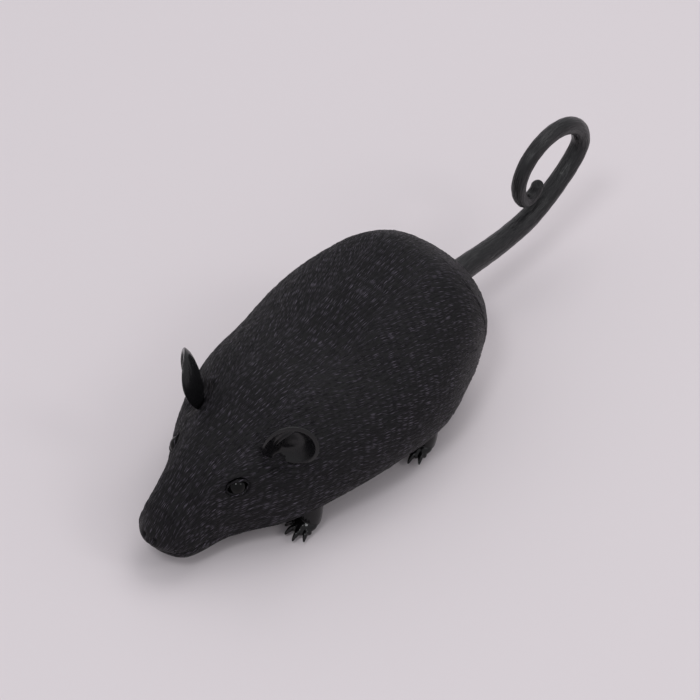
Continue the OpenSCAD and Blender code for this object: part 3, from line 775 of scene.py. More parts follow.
@dataclass(frozen=True)
class WindingLine:
    """The winding arbor's line, which leaves the rump at the tail's root."""

    pitch: float = math.radians(6)
    train: tuple[float, float, float] = (0.0, -15.9804 * MM, 18.7754 * MM)
    tail_start: float = 39.24 * MM
    stalk: float = 48.242 * MM

    def at(self, s: float) -> np.ndarray:
        """The point at distance s from the second shaft."""
        return np.asarray(self.train) + s * self.direction()

    def direction(self) -> np.ndarray:
        """Direction towards the tail."""
        return np.array([0.0, math.cos(self.pitch), math.sin(self.pitch)])


@dataclass(frozen=True)
class FurShell:
    """The mouse's hollow upper shell with its carved hair, nose, mouth and eye sockets."""

    form: MouseForm = MouseForm()
    line: WindingLine = WindingLine()
    rows: tuple[int, int, int, int] = (26, 128, 12, 30)
    columns: int = 456
    inner_columns: int = 24
    hole: float = 5.86 * MM
    rump_ring: float = 0.955
    carve: float = 0.42 * MM
    wave: float = 0.35 * MM
    pad: float = 0.55 * MM
    pit: float = 0.9 * MM
    notch: float = 0.5 * MM
    slit: float = 0.6 * MM
    socket: float = 1.5 * MM
    brow: float = 0.35 * MM
    ear_hollow: float = 1.3 * MM

    def spaced(self, u: np.ndarray, count: int) -> np.ndarray:
        """Places spread evenly by surface distance between the first and last of u."""
        a = np.radians([90, 45, 5])[:, None]
        line = self.form.skin(u[None, :], a)
        run = np.linalg.norm(np.diff(line, axis=1), axis=2).mean(0)
        run = np.concatenate([[0], np.cumsum(run)])
        return np.interp(np.linspace(0, run[-1], count), run, u)

    def places(self, level: float, inset: float) -> np.ndarray:
        """Places of the rows: closed snout, open belly and closed rump, up to the ring round the hole."""
        front, back = self.form.open_span(level, inset)
        back = min(back, self.rump_ring - 0.01)
        start = (1 - np.cos(np.linspace(0, math.pi / 2, 200))) * front
        a, b, c, _ = self.rows
        return np.concatenate([
            self.spaced(start, a + 1)[:-1],
            self.spaced(np.linspace(front, back, 400), b + 1)[:-1],
            self.spaced(np.linspace(back, self.rump_ring, 100), c + 1),
        ])

    def angles(self, u: np.ndarray, level: float, inset: float, count: int) -> np.ndarray:
        """Angles of each row's points, spread evenly by distance from the left edge to the right.

        All rows are looked up in one interpolation: row k's shares run from k to just under k + 1.

        Args:
            u: Places of the rows.
            level: Height of the lower edge.
            inset: Distance that the sheet is moved in.
            count: Points in a row.

        Returns:
            The angles, rows by count.
        """
        just_under = 0.999999
        lo = self.form.edge_angle(u, level, inset)[:, None]
        t = np.linspace(0, 1, 1441)[None, :]
        a = lo + t * (math.pi - 2 * lo)
        line = self.form.skin(np.maximum(u, 1e-4)[:, None], a, inset)
        run = np.concatenate([np.zeros((len(u), 1)),
                              np.cumsum(np.linalg.norm(np.diff(line, axis=1), axis=2), 1)], 1)
        row = np.arange(len(u))[:, None]
        share = run / run[:, -1:] * just_under + row
        want = np.linspace(0, 1, count)[None, :] * just_under + row
        return np.interp(want.ravel(), share.ravel(), a.ravel()).reshape(len(u), count)

    def sheet(self, level: float, inset: float, count: int, back_off: float) -> np.ndarray:
        """Grid of points from the snout's tip to the ring round the winding hole.

        The last rows go in straight steps, seen from behind, from the section at the rump ring
        to a circle of the hole's radius, and take their depth from the surface.

        Args:
            level: Height of the lower edge.
            inset: Distance that the sheet is moved in.
            count: Points in a row.
            back_off: Distance that the last ring is moved forwards along the winding line.

        Returns:
            The points, rows by columns.
        """
        u = self.places(level, inset)
        a = self.angles(u, level, inset, count)
        grid = self.form.skin(u[:, None], a, inset)
        ring = grid[-1]
        centre = self.line.at(self.line.stalk)
        angle = np.unwrap(np.arctan2(ring[:, 2] - centre[2], ring[:, 0]))
        circle = np.stack([self.hole * np.cos(angle), centre[2] + self.hole * np.sin(angle)], -1)
        steps = (np.arange(1, self.rows[3] + 1) / self.rows[3])[:, None, None]
        flat = ring[None, :, [0, 2]] * (1 - steps) + circle[None] * steps
        y = self.form.rump_depth(flat[..., 0], flat[..., 1]) - inset
        band = np.stack([flat[..., 0], y, flat[..., 1]], -1)
        band = band - back_off * self.line.direction() * steps**2
        return np.concatenate([grid, band])

    def flow(self, grid: np.ndarray) -> tuple[np.ndarray, np.ndarray]:
        """Distances along and across the hair's flow: from the snout, and from the spine."""
        step = np.linalg.norm(np.diff(grid, axis=0), axis=2)
        middle = slice(self.columns // 4, -(self.columns // 4))
        p = np.concatenate([[0], np.cumsum(step[:, middle].mean(1))])
        across = np.linalg.norm(np.diff(grid, axis=1), axis=2)
        q = np.concatenate([np.zeros((len(grid), 1)), np.cumsum(across, 1)], 1)
        return np.broadcast_to(p[:, None], q.shape), q - q[:, -1:] / 2

    def relief(self, grid: np.ndarray, p: np.ndarray, q: np.ndarray) -> np.ndarray:
        """Height of the carving at each point of the outer sheet.

        Hair strokes of two sizes, less at the edges; long low waves in the coat; a bare nose pad
        with nostrils and a cleft; a mouth line with fuller lips above it.

        Args:
            grid: The sheet's points.
            p: Distance along the flow.
            q: Distance across the flow.

        Returns:
            Heights in metres.
        """
        depth = grid[..., 1] - (self.form.shift - self.form.length / 2)
        flank = smooth(np.abs(q), 6 * MM, 34 * MM) * smooth(p, 10 * MM, 60 * MM)
        lean = np.sign(q) * (0.10 + 0.38 * flank)
        lean = lean + 0.16 * np.sin(p / (9 * MM) + 1.3 * np.sin(q / (11 * MM)))
        hair = Strands(4.0 * MM, 0.85 * MM, 5).height(p, q, lean)
        fine = Strands(2.8 * MM, 0.62 * MM, 11).height(p + 1.7 * MM, q, lean * 1.1)
        edge = smooth(q[:, -1:] - np.abs(q), 0.2 * MM, 2.5 * MM)
        ring = np.linalg.norm(grid - self.line.at(self.line.stalk), axis=-1)
        calm = edge * smooth(depth, 2.2 * MM, 5 * MM)
        calm = calm * smooth(ring, self.hole + 0.3 * MM, self.hole + 3 * MM)
        coat = self.carve * calm * (0.62 * hair + 0.38 * fine - 0.45)
        waves = self.wave * calm * np.sin(p / (7 * MM) + np.sin(q / (6 * MM)))
        return coat + waves * smooth(p, 20 * MM, 60 * MM) + self.face(grid[..., 0], depth, grid[..., 2])

    def face(self, x: np.ndarray, depth: np.ndarray, z: np.ndarray) -> np.ndarray:
        """Height of the nose pad, nostrils, cleft, mouth line and lips.

        Args:
            x: Distance to the left.
            depth: Distance behind the snout's tip.
            z: Height above the floor.

        Returns:
            Heights in metres.
        """
        nose = hump(depth, 0, 3.2 * MM) * smooth(z, 10.5 * MM, 13 * MM)
        nostril = hump(np.abs(x), 1.9 * MM, 0.75 * MM) * hump(z, 14.2 * MM, 0.8 * MM)
        nostril = nostril * smooth(-depth, -5 * MM, 0)
        cleft = hump(x, 0, 0.35 * MM) * smooth(-z, -15 * MM, -13 * MM) * smooth(-depth, -5 * MM, -2 * MM)
        lip_line = 9.6 * MM + 0.05 * depth
        mouth = hump(z - lip_line, 0, 0.42 * MM)
        mouth = mouth * smooth(depth, 0.2 * MM, 1.5 * MM) * smooth(-depth, -17 * MM, -11 * MM)
        lips = hump(z - lip_line, 2.0 * MM, 1.7 * MM) * hump(depth, 6.5 * MM, 4.2 * MM)
        return self.pad * (nose + lips) - self.pit * nostril - self.notch * cleft - self.slit * mouth

    def sockets(self, points: np.ndarray, normals: np.ndarray) -> np.ndarray:
        """Moves the points in below each eye's bead, out along its brow, and in under each ear's bowl."""
        moved = points.copy()
        for side in Side:
            eye = EyeSeat(self.form, side)
            e1, e2, out = eye.axes()
            off = points - eye.centre()
            d = np.sqrt((off @ e1 / 1.32) ** 2 + (off @ e2) ** 2 + (0.5 * (off @ out)) ** 2)
            dip = self.socket * smooth(-d, -2.9 * MM, -2.0 * MM)
            brow = self.brow * hump(d, 3.2 * MM, 0.8 * MM)
            bowl = np.linalg.norm(points - Ear(self.form, side).middle(), axis=-1)
            hollow = self.ear_hollow * smooth(-bowl, -7.0 * MM, -3.5 * MM)
            moved += (brow - dip - hollow)[..., None] * normals
        return moved

    def ledge(self, u: np.ndarray, level: float) -> np.ndarray:
        """Edge of the recess that takes the base plate, on the left, at a level."""
        form = self.form
        x = np.maximum(form.edge_half(u) - form.rim, 0.12 * MM)
        x[[0, -1]] = 0
        shrink = (form.length - 2 * (form.rim + 0.6 * MM)) / form.length
        y = (u - 0.5) * form.length * shrink + form.shift
        return np.stack([x, y, np.full_like(x, level)], -1)

    def surface(self) -> Skin:
        """Builds the shell: outer sheet, lower rim, ledge, inner sheet and the hole's wall.

        Every row is one loop: outer points from left to right, down and in over the rim, up to the
        ledge, and back over the inner sheet. Rim and ledge exist only where the belly is open.

        Returns:
            The closed surface.
        """
        form = self.form
        outer = self.sheet(form.skirt, 0.0, self.columns + 1, 0.0)
        inner = self.sheet(form.base_top, form.wall, self.inner_columns + 1, 1.0 * MM)
        p, q = self.flow(outer)
        high = self.relief(outer, p, q)
        normals = unit(np.cross(np.gradient(outer, axis=0), np.gradient(outer, axis=1)))
        normals *= np.sign(np.einsum("ijk,ijk->", normals, outer - outer.mean((0, 1))))
        normals[0] = [0, -1, 0]
        outer = self.sockets(outer + high[..., None] * normals, normals)
        rows = len(outer)
        first, last = self.rows[0], self.rows[0] + self.rows[1]
        u = self.places(form.skirt, 0.0)
        left = {level: outer[:, 0].copy() for level in (form.skirt, form.base_top)}
        for level, line in left.items():
            line[first:last + 1] = self.ledge(u[first:last + 1], level)
        mirror = np.array([-1, 1, 1])
        loop = np.concatenate([
            outer, (left[form.skirt] * mirror)[:, None], (left[form.base_top] * mirror)[:, None],
            inner[:, ::-1], left[form.base_top][:, None], left[form.skirt][:, None],
        ], 1)
        cols = loop.shape[1]
        quads = lattice(rows, cols, wrap=True)
        row, col = quads[:, 0] // cols, quads[:, 0] % cols
        n, m = self.columns, self.inner_columns
        strip = ((col >= n) & (col < n + 3)) | (col >= n + 3 + m)
        quads = quads[~strip | ((row >= first) & (row < last))]
        flat = np.zeros((rows, cols, 2))
        flat[:, :n + 1] = np.stack([p, q], -1)
        flat[:, n + 1:] = loop[:, n + 1:, :2]
        ratio = n // m
        k = np.arange(n)
        far = (rows - 1) * cols
        inner_at = far + n + 3 + m - (k + ratio // 2) // ratio
        fan = np.stack([far + k, far + k + 1, inner_at, inner_at], 1)
        b = np.arange(m)
        join = np.stack([far + b * ratio + ratio - ratio // 2, far + n + 3 + m - b - 1,
                         far + n + 3 + m - b, far + n + 3 + m - b], 1)
        return Skin(loop.reshape(-1, 3), np.concatenate([quads, fan, join]), flat.reshape(-1, 2)).outward()

    def build(self) -> bpy.types.Object:
        """Makes the shell with its eyelids and gives it the fur finish."""
        lids = [EyeSeat(self.form, side).lids() for side in Side]
        thing = Skin.joined([self.surface(), *lids]).piece("fur_shell")
        return dressed(thing, FurFinish().made(), Body.CHASSIS, "fur_shell", "body_shell")


@dataclass(frozen=True)
class EyeSeat:
    """Where an eye bead sits on the head, and the lids round it."""

    form: MouseForm
    side: Side
    place: float = 0.181
    angle: float = math.radians(40)
    long_half: float = 3.3 * MM
    short_half: float = 2.05 * MM
    bead: float = 2.8 * MM
    sunk: float = 1.4 * MM
    lid: float = 0.42 * MM

    def centre(self) -> np.ndarray:
        """Point of the skin at the eye's middle."""
        at = self.form.skin(np.array(self.place), np.array(self.angle))
        return at * [self.side.value, 1, 1]

    def axes(self) -> tuple[np.ndarray, np.ndarray, np.ndarray]:
        """Directions along the eye, across it and out of the head."""
        out = self.form.normal(self.place, self.angle) * [self.side.value, 1, 1]
        back = np.array([0.0, 1.0, -0.12])
        e1 = unit(back - out * (back @ out))
        return e1, np.cross(out, e1), out

    def lids(self) -> Skin:
        """A tapering roll round an almond outline that lies on the bead.

        The outline is (A cos f, B sin f |sin f|^0.25); its height is that of the bead's surface,
        sqrt(R^2 - d^2) - sunk, or just above the skin past the bead.

        Returns:
            The closed roll.
        """
        e1, e2, out = self.axes()
        steps, sides = 96, 14
        f = np.linspace(0, TURN, steps, endpoint=False)
        s = np.sin(f)
        x = self.long_half * np.cos(f)
        y = self.short_half * s * np.abs(s) ** 0.25
        d2 = x**2 + y**2
        rise = np.sqrt(np.maximum(self.bead**2 - d2, 0)) - self.sunk
        rise = np.maximum(rise, -0.1 * MM) + 0.1 * MM
        path = self.centre() + x[:, None] * e1 + y[:, None] * e2 + rise[:, None] * out
        thick = self.lid * (0.55 + 0.45 * np.abs(s))
        b = np.linspace(0, TURN, sides, endpoint=False)
        away = unit(x[:, None] * e1 + y[:, None] * e2)
        ring = np.cos(b)[None, :, None] * away[:, None] + 0.8 * np.sin(b)[None, :, None] * out
        grid = path[:, None] + thick[:, None, None] * ring
        quads = lattice(steps + 1, sides, wrap=True) % (steps * sides)
        flat = np.stack(np.broadcast_arrays(f[:, None] * 3 * MM + 30 * MM, b * 0.3 * MM + 20 * MM), -1)
        return Skin(grid.reshape(-1, 3), quads, flat.reshape(-1, 2)).outward()


def dressed(thing: bpy.types.Object, material: bpy.types.Material, body: Body, slot: str,
            *nodes: str) -> bpy.types.Object:
    """Gives a new piece its material and body and hides the CAD nodes that it stands for.

    Args:
        thing: The piece.
        material: Its material.
        body: The moving body it rides on.
        slot: The record's material slot; not used.
        *nodes: CAD nodes that it replaces.

    Returns:
        The piece.
    """
    thing.data.materials.append(material)
    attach(thing, body.value)
    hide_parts(*nodes)
    LOG.info("%s: %d faces on %s", thing.name, len(thing.data.polygons), body.value)
    return thing


# ---------------------------------------------------------------- ears, feet and tail


@dataclass(frozen=True)
class Ear:
    """A cupped leaf-shaped ear with a rolled rim and a fold in its bowl."""

    form: MouseForm
    side: Side
    height: float = 19 * MM
    width: float = 15.5 * MM
    cup: float = 4.5 * MM
    lip: float = 0.75 * MM
    place: float = 0.296
    angle: float = math.radians(54.5)
    up: tuple[float, float, float] = (0.44, 0.13, 0.88)
    face: tuple[float, float, float] = (0.61, -0.77, -0.19)
    sink: float = 4.6 * MM

    def axes(self) -> tuple[np.ndarray, np.ndarray, np.ndarray]:
        """Directions out of the bowl, across the leaf and up it, for the left ear."""
        z = unit(self.up)
        x = unit(np.asarray(self.face) - z * (z @ np.asarray(self.face)))
        return x, np.cross(z, x), z

    def middle(self) -> np.ndarray:
        """Point at the mouth of the bowl where it meets the skin."""
        at = self.form.skin(np.array(self.place), np.array(self.angle)) + self.axes()[0] * 2.6 * MM
        return at * [self.side.value, 1, 1]

    def surface(self) -> Skin:
        """Builds the leaf from its middle out over the bowl and back down behind it.

        With r the share of the way to the rim and a the angle round it: across = r w/2 cos a
        (1 + 0.22 sin a), up = h/2 (1 + r sin a), out = cup r^2 (0.35 + 0.65 cos^2 a) plus or
        minus the lip's sqrt(1 - r^6). The bowl's side also has the rim's roll and the fold.

        Returns:
            The closed surface.
        """
        x, y, z = self.axes()
        root = self.form.skin(np.array(self.place), np.array(self.angle)) - z * self.sink
        rows, sides = 121, 144
        q = 1 - np.cos(np.linspace(0, math.pi, rows))
        q = np.where(q < 1, np.sin(q * math.pi / 2), 2 - np.sin((2 - q) * math.pi / 2))
        a = np.linspace(0, TURN, sides, endpoint=False)[None, :]
        front = (q <= 1)[:, None]
        r = np.where(q <= 1, q, 2 - q)[:, None]
        across = r * self.width / 2 * np.cos(a) * (1 + 0.22 * np.sin(a))
        along = self.height / 2 * (1 + r * np.sin(a))
        thick = self.lip * np.sqrt(np.maximum(1 - r**6, 0))
        out = self.cup * r**2 * (0.35 + 0.65 * np.cos(a) ** 2)
        roll = 0.55 * MM * hump(r, 0.88, 0.075)
        bowl = -0.55 * MM * hump(r, 0.62, 0.2)
        fold_line = across + 3.4 * MM * np.sin(along / self.height * 3.3) - 0.4 * MM
        fold = 0.9 * MM * hump(fold_line, 0, 0.55 * MM) * smooth(along, 4 * MM, 7 * MM)
        fold = fold * smooth(-along, -16.5 * MM, -13.5 * MM)
        fold = fold - 0.9 * MM * smooth(fold_line, 0.3 * MM, 2.2 * MM) * smooth(-r, -0.8, -0.4)
        out = out + np.where(front, thick + roll + bowl + fold, -thick)
        hair = Strands(3.0 * MM, 0.8 * MM, 23).height(along, across)
        out = out - np.where(front, 0, 0.12 * MM * hair * smooth(-r, -0.97, -0.8))
        grid = root + out[..., None] * x + across[..., None] * y + along[..., None] * z
        quads = lattice(rows, sides, wrap=True)
        flat = np.stack([along, across], -1).reshape(-1, 2)
        return Skin(grid.reshape(-1, 3), quads, flat).mirrored(self.side)

    def build(self) -> bpy.types.Object:
        """Makes the ear with its glossy finish."""
        name = f"{self.side.name.lower()}_ear"
        thing = self.surface().piece(f"{name}_leaf", 1e-7)
        return dressed(thing, BLACK_GLOSS.made(), Body.CHASSIS, "ear_plastic", name)


@dataclass(frozen=True)
class Foot:
    """A leg with a palm and four knuckled, clawed toes fanned to the front."""

    form: MouseForm
    name: str
    side: Side
    behind: float
    leg: float = 3.0 * MM
    reach: float = 7.5 * MM
    voxel: float = 0.15 * MM
    first_toe: float = math.radians(-42)
    fan: float = math.radians(23)

    def toe(self, angle: float, reach: float) -> list[Skin]:
        """One toe and its claw.

        The toe's line rises to a knuckle and comes down; its radius swells at two joints. The
        claw is a second tube that starts inside the toe's end and curves to a point.

        Args:
            angle: Direction seen from above, from straight ahead.
            reach: Distance from the leg's middle to the claw's tip.

        Returns:
            The two closed tubes.
        """
        ahead = np.array([math.sin(angle), -math.cos(angle), 0.0])
        up = np.array([0, 0, 1.0])
        t = np.linspace(0, 1, 41)
        run = t * 0.80 * reach
        level = 3.1 * MM + 0.85 * MM * np.sin(math.pi * np.clip(t * 1.2, 0, 1)) - 1.0 * MM * t**3
        toe_r = (1.75 - 0.42 * t + 0.16 * hump(t, 0.55, 0.12) + 0.16 * hump(t, 0.84, 0.1)) * MM
        toe_r = toe_r * np.sqrt(np.clip(1 - np.clip((t - 0.86) / 0.145, 0, 1) ** 2, 0.01, 1))
        toe = tube(run[:, None] * ahead + level[:, None] * up, toe_r, 28, np.cross(up, ahead), squash=0.9)
        s = np.linspace(0, 1, 29)
        run = 0.66 * reach + s * 0.46 * reach
        level = 2.75 * MM + 0.35 * MM * np.sin(math.pi * s) - 1.45 * MM * s**1.8
        claw_r = (0.88 * (1 - s) ** 0.55 + 0.12) * MM
        claw = tube(run[:, None] * ahead + level[:, None] * up, claw_r, 20, np.cross(up, ahead), squash=1.2)
        return [toe, claw]

    def surface(self) -> Skin:
        """Joins leg, palm, toes and claws, which are then fused into one skin.

        The leg is a tube whose radius grows upwards like a thigh; the palm is a flat ball of
        radius sqrt(1 - s^2) along its line.

        Returns:
            The overlapping tubes.
        """
        t = np.linspace(0, 1, 40)
        path = np.stack([0.25 * MM * t, 0.9 * MM * t**1.5, (3.4 + 9.0 * t) * MM], 1)
        girth = self.leg * (1.02 + 0.16 * t + 0.05 * np.sin(5 * t))
        leg = tube(path, girth, 48, (1, 0, 0), squash=0.98)
        s = np.linspace(-0.995, 0.995, 33)
        path = np.stack([np.full_like(s, -0.5 * MM), (-1.6 - 3.4 * s) * MM, (3.5 - 0.25 * s) * MM], 1)
        palm = tube(path, 3.9 * MM * np.sqrt(1 - s**2), 40, (1, 0, 0), squash=0.56)
        toes = [part for k, share in enumerate((0.88, 1, 1, 0.86))
                for part in self.toe(self.first_toe + k * self.fan, self.reach * share)]
        whole = Skin.joined([leg, palm, *toes])
        x = self.form.skirt_half(self.behind) - 0.4 * MM + self.leg
        whole.points = whole.points + [x, self.behind + self.form.shift, 0]
        return whole

    def build(self) -> bpy.types.Object:
        """Makes the foot, fuses its parts by a fine remesh and relaxes the joins."""
        node = f"{self.name}_foot"
        whole = self.surface()
        if self.side is Side.RIGHT:
            whole = Skin(whole.points * [-1, 1, 1], whole.quads[:, ::-1], whole.flat)
        thing = whole.piece(f"{self.name}_paw")
        fuse = thing.modifiers.new("fuse", "REMESH")
        fuse.mode = "VOXEL"
        fuse.voxel_size = self.voxel
        fuse.use_smooth_shade = True
        relax = thing.modifiers.new("relax", "SMOOTH")
        relax.factor = 0.5
        relax.iterations = 4
        return dressed(thing, PAW_GLOSS.made(), Body.CHASSIS, "foot_plastic", node)


@dataclass(frozen=True)
class Tail:
    """The curled tail that is turned to wind the spring."""

    line: WindingLine = WindingLine()
    root: float = 8 * MM
    tip: float = 4.1 * MM
    loop_y: float = 79.0196 * MM
    loop_z: float = 40.2 * MM
    loop_long: float = 30 * MM
    loop_high: float = 24.6 * MM
    hook: float = math.radians(214)
    rings: int = 720
    sides: int = 104
    carve: float = 0.17 * MM
    mean_radius: float = 3.1 * MM
    strokes_round: int = 22

    def centre_line(self) -> tuple[np.ndarray, np.ndarray]:
        """Centre line and radius from inside the bush to the tip.

        A straight journal on the winding line, a Bezier out to the bend, a Bezier up to the
        loop, most of an ellipse, and a Bezier into the curled tip. The radius falls from root to
        tip with t^0.85 and closes with a round end.

        Returns:
            Points and radii, evenly spaced by distance.
        """
        half_l, half_h = self.loop_long / 2, self.loop_high / 2
        middle = np.array([self.loop_y, self.loop_z])
        stalk = self.line.at(self.line.stalk)[1:]
        bend = np.array([self.loop_y - 0.35 * self.loop_long, 23.3 * MM])
        start = middle + [half_l, 0]
        a, h = self.hook, heading(math.degrees(self.hook))
        hook_at = middle + [half_l * h[0], half_h * h[1]]
        hook_dir = unit([-half_l * math.sin(a), half_h * math.cos(a)])
        end = middle - [0.18 * self.loop_long, 0.15 * self.loop_high]
        t = np.linspace(0, 1, 160)
        arc = a * t[:, None]
        parts = [
            bezier([stalk, stalk + 8 * MM * heading(6), bend - 14 * MM * heading(9), bend], t),
            bezier([bend, bend + 9 * MM * heading(9), start - [0.4 * MM, 6.2 * MM], start], t),
            middle + np.concatenate([half_l * np.cos(arc), half_h * np.sin(arc)], 1),
            bezier([hook_at, hook_at + 4 * MM * hook_dir, end + [0.4 * MM, -4 * MM], end], t),
        ]
        shares = [0, 0.25, 0.45, 0.88, 1]
        ts = np.concatenate([lo + (hi - lo) * t for lo, hi in zip(shares, shares[1:])])
        flat = np.concatenate(parts)
        journal = self.line.at(self.line.tail_start)[1:] * (1 - t[:, None]) + stalk * t[:, None]
        flat = np.concatenate([journal[:-1], flat])
        radius = (self.root - 0.1 * MM + (self.tip - self.root) * ts**0.85) / 2
        radius *= np.sqrt(np.clip(1 - np.clip(1 - (1 - ts) / 0.02, 0, 1) ** 2, 0.0016, 1))
        radius = np.concatenate([np.full(len(t) - 1, self.root / 2 - 0.01 * MM), radius])
        run = run_of(flat)
        keep = np.concatenate([[True], np.diff(run) > 1e-9])
        want = np.linspace(0, run[-1], self.rings)
        want = np.sort(np.concatenate([want, run[-1] - np.geomspace(1e-6, 1.2 * MM, 14)]))
        y, z, r = (np.interp(want, run[keep], v[keep]) for v in (flat[:, 0], flat[:, 1], radius))
        return np.stack([np.zeros_like(y), y, z], 1), r

    def build(self) -> bpy.types.Object:
        """Makes the tail: waved strokes all round it, none on the journal in the bush or at the tip."""
        path, radius = self.centre_line()
        run = run_of(path)
        a = np.linspace(0, TURN, self.sides, endpoint=False)
        girth = a[None, :] * self.mean_radius
        p = np.broadcast_to(run[:, None], (len(run), self.sides))
        wave = 0.9 * MM * np.sin(p / (4.3 * MM)) * np.cos(2 * a)[None, :]
        stroke = TURN * self.mean_radius / self.strokes_round
        high = Strands(6.0 * MM, stroke / Strands.row_share, 31, 0.1).height(p, girth + wave)
        seam = smooth(np.abs((a + math.pi) % TURN - math.pi), 0.02, 0.25)[None, :]
        calm = smooth(run, 9.5 * MM, 12.5 * MM) * smooth(-run, -run[-1], 2 * MM - run[-1])
        relief = self.carve * (high - 0.75) * calm[:, None] * seam
        thing = tube(path, radius, self.sides, (1, 0, 0), relief=relief).piece("curled_tail")
        return dressed(thing, TailFinish().made(), Body.WINDING_TAIL, "tail_plastic", "tail")


# ---------------------------------------------------------------- running gear


@dataclass(frozen=True)
class Tyre:
    """A rubber tyre with a ribbed tread and rounded shoulders."""

    side: Side
    axle_y: float = -6.0762 * MM
    inner_x: float = 14 * MM
    width: float = 4.2 * MM
    rim: float = 9 * MM
    radius: float = 12 * MM
    ribs: int = 48
    steps: int = 384

    def build(self) -> bpy.types.Object:
        """Makes the tyre: a closed profile turned round, with slanted cross ribs and a middle groove."""
        w, top = self.width, self.radius
        s = np.linspace(0, 1, 25)
        crown = top - 0.55 * MM * np.abs(2 * s - 1) ** 3 - 0.3 * MM * hump(s, 0.5, 0.05)
        x = 0.02 * w + 0.96 * w * s
        wall = np.linspace(self.rim, top - 0.7 * MM, 8)
        profile = np.concatenate([
            np.stack([np.zeros_like(wall), wall], 1), np.stack([x, crown], 1),
            np.stack([np.full_like(wall, w), wall[::-1]], 1), [[w * 0.75, self.rim], [w * 0.25, self.rim]],
        ])
        a = np.linspace(0, TURN, self.steps, endpoint=False)[:, None]
        off_tread = smooth(np.abs(profile[None, :, 1] - top), 0, 0.7 * MM)
        chevron = 3 * np.abs(2 * profile[None, :, 0] / w - 1)
        rib = 0.5 + 0.5 * np.tanh(4 * np.cos(self.ribs * a + chevron))
        relief = -0.3 * MM * rib * (1 - off_tread)
        centre = (self.inner_x, self.axle_y, self.radius)
        ring = turned(profile, self.steps, centre, relief).mirrored(self.side)
        name = f"{self.side.name.lower()}_tyre"
        return dressed(ring.piece(f"{name}_ribbed"), RUBBER.made(), Body.DRIVE_WHEELS, "tyre_rubber", name)


@dataclass(frozen=True)
class Roller:
    """The plain front roller, with a groove each side of its middle and eased edges."""

    centre: tuple[float, float, float] = (0.0, -69.6804 * MM, 9 * MM)
    width: float = 5 * MM
    radius: float = 9 * MM
    bore: float = 1.05 * MM

    def build(self) -> bpy.types.Object:
        """Makes the roller: a closed profile with a dished face on each side."""
        w = self.width / 2
        s = np.linspace(-1, 1, 61)
        rim = self.radius - 0.5 * MM * np.abs(s) ** 9 - 0.35 * MM * (hump(s, -0.4, 0.07) + hump(s, 0.4, 0.07))
        face = np.linspace(self.radius - 0.9 * MM, self.bore, 26)[1:]
        dish = w - 0.9 * MM * smooth(face, 2.6 * MM, 3.4 * MM) * smooth(-face, -7.6 * MM, -6.9 * MM)
        profile = np.concatenate([
            np.stack([s * w, rim], 1), np.stack([dish, face], 1), np.stack([-dish[::-1], face[::-1]], 1),
        ])
        ring = turned(profile, 160, self.centre)
        return dressed(ring.piece("grooved_roller"), HUB_PLASTIC.made(), Body.ROLLER, "hub_plastic",
                       "front_roller")


# ---------------------------------------------------------------- finishes of the other parts

BLACK_GLOSS = MouldedFinish("ear_gloss", tone(0.0045, 0.0045, 0.005), tone(0.010, 0.0095, 0.0105), 0.2, 0.14,
                            0.012 * MM, 2500.0, 0.32)
PAW_GLOSS = MouldedFinish("paw_gloss", tone(0.003, 0.003, 0.0033), tone(0.008, 0.0075, 0.008), 0.14, 0.14,
                          0.02 * MM, 900.0, 0.3)
EYE_GLOSS = MouldedFinish("eye_gloss", tone(0.0015, 0.0015, 0.0015), tone(0.003, 0.003, 0.003), 0.03, 0.04,
                          0.002 * MM, 400.0, 0.16)
BASE_PLASTIC = MouldedFinish("base_plate_plastic", tone(0.011, 0.011, 0.012), tone(0.026, 0.025, 0.026), 0.42,
                             0.16, 0.05 * MM, 1800.0)
HUB_PLASTIC = MouldedFinish("hub_plastic", tone(0.035, 0.035, 0.037), tone(0.07, 0.068, 0.068), 0.35, 0.2)
BUSH_NYLON = MouldedFinish("bush_nylon", tone(0.012, 0.012, 0.013), tone(0.022, 0.021, 0.022), 0.36, 0.15)
RUBBER = MouldedFinish("tyre_rubber", tone(0.010, 0.010, 0.010), tone(0.045, 0.042, 0.040), 0.62, 0.2,
                       0.06 * MM, 1500.0)
PLATE_STEEL = MetalFinish("plate_steel", tone(0.56, 0.56, 0.57),
                          tone(0.33, 0.32, 0.31), (14.0, 1.0, 1.0), 0.26)
TURNED_STEEL = MetalFinish("turned_steel", tone(0.60, 0.60, 0.62),
                           tone(0.36, 0.35, 0.34), (20.0, 2.0, 2.0), 0.18)
SPRING_STEEL = MetalFinish("spring_steel", tone(0.20, 0.21, 0.25),
                           tone(0.10, 0.09, 0.10), (2.0, 16.0, 2.0), 0.22)
SCREW_STEEL = MetalFinish("screw_steel", tone(0.50, 0.50, 0.52),
                          tone(0.20, 0.19, 0.18), (6.0, 6.0, 6.0), 0.28)
GEAR_BRASS = MetalFinish("gear_brass", tone(0.80, 0.55, 0.22), tone(0.42, 0.25, 0.09), (8.0, 2.0, 8.0), 0.22)


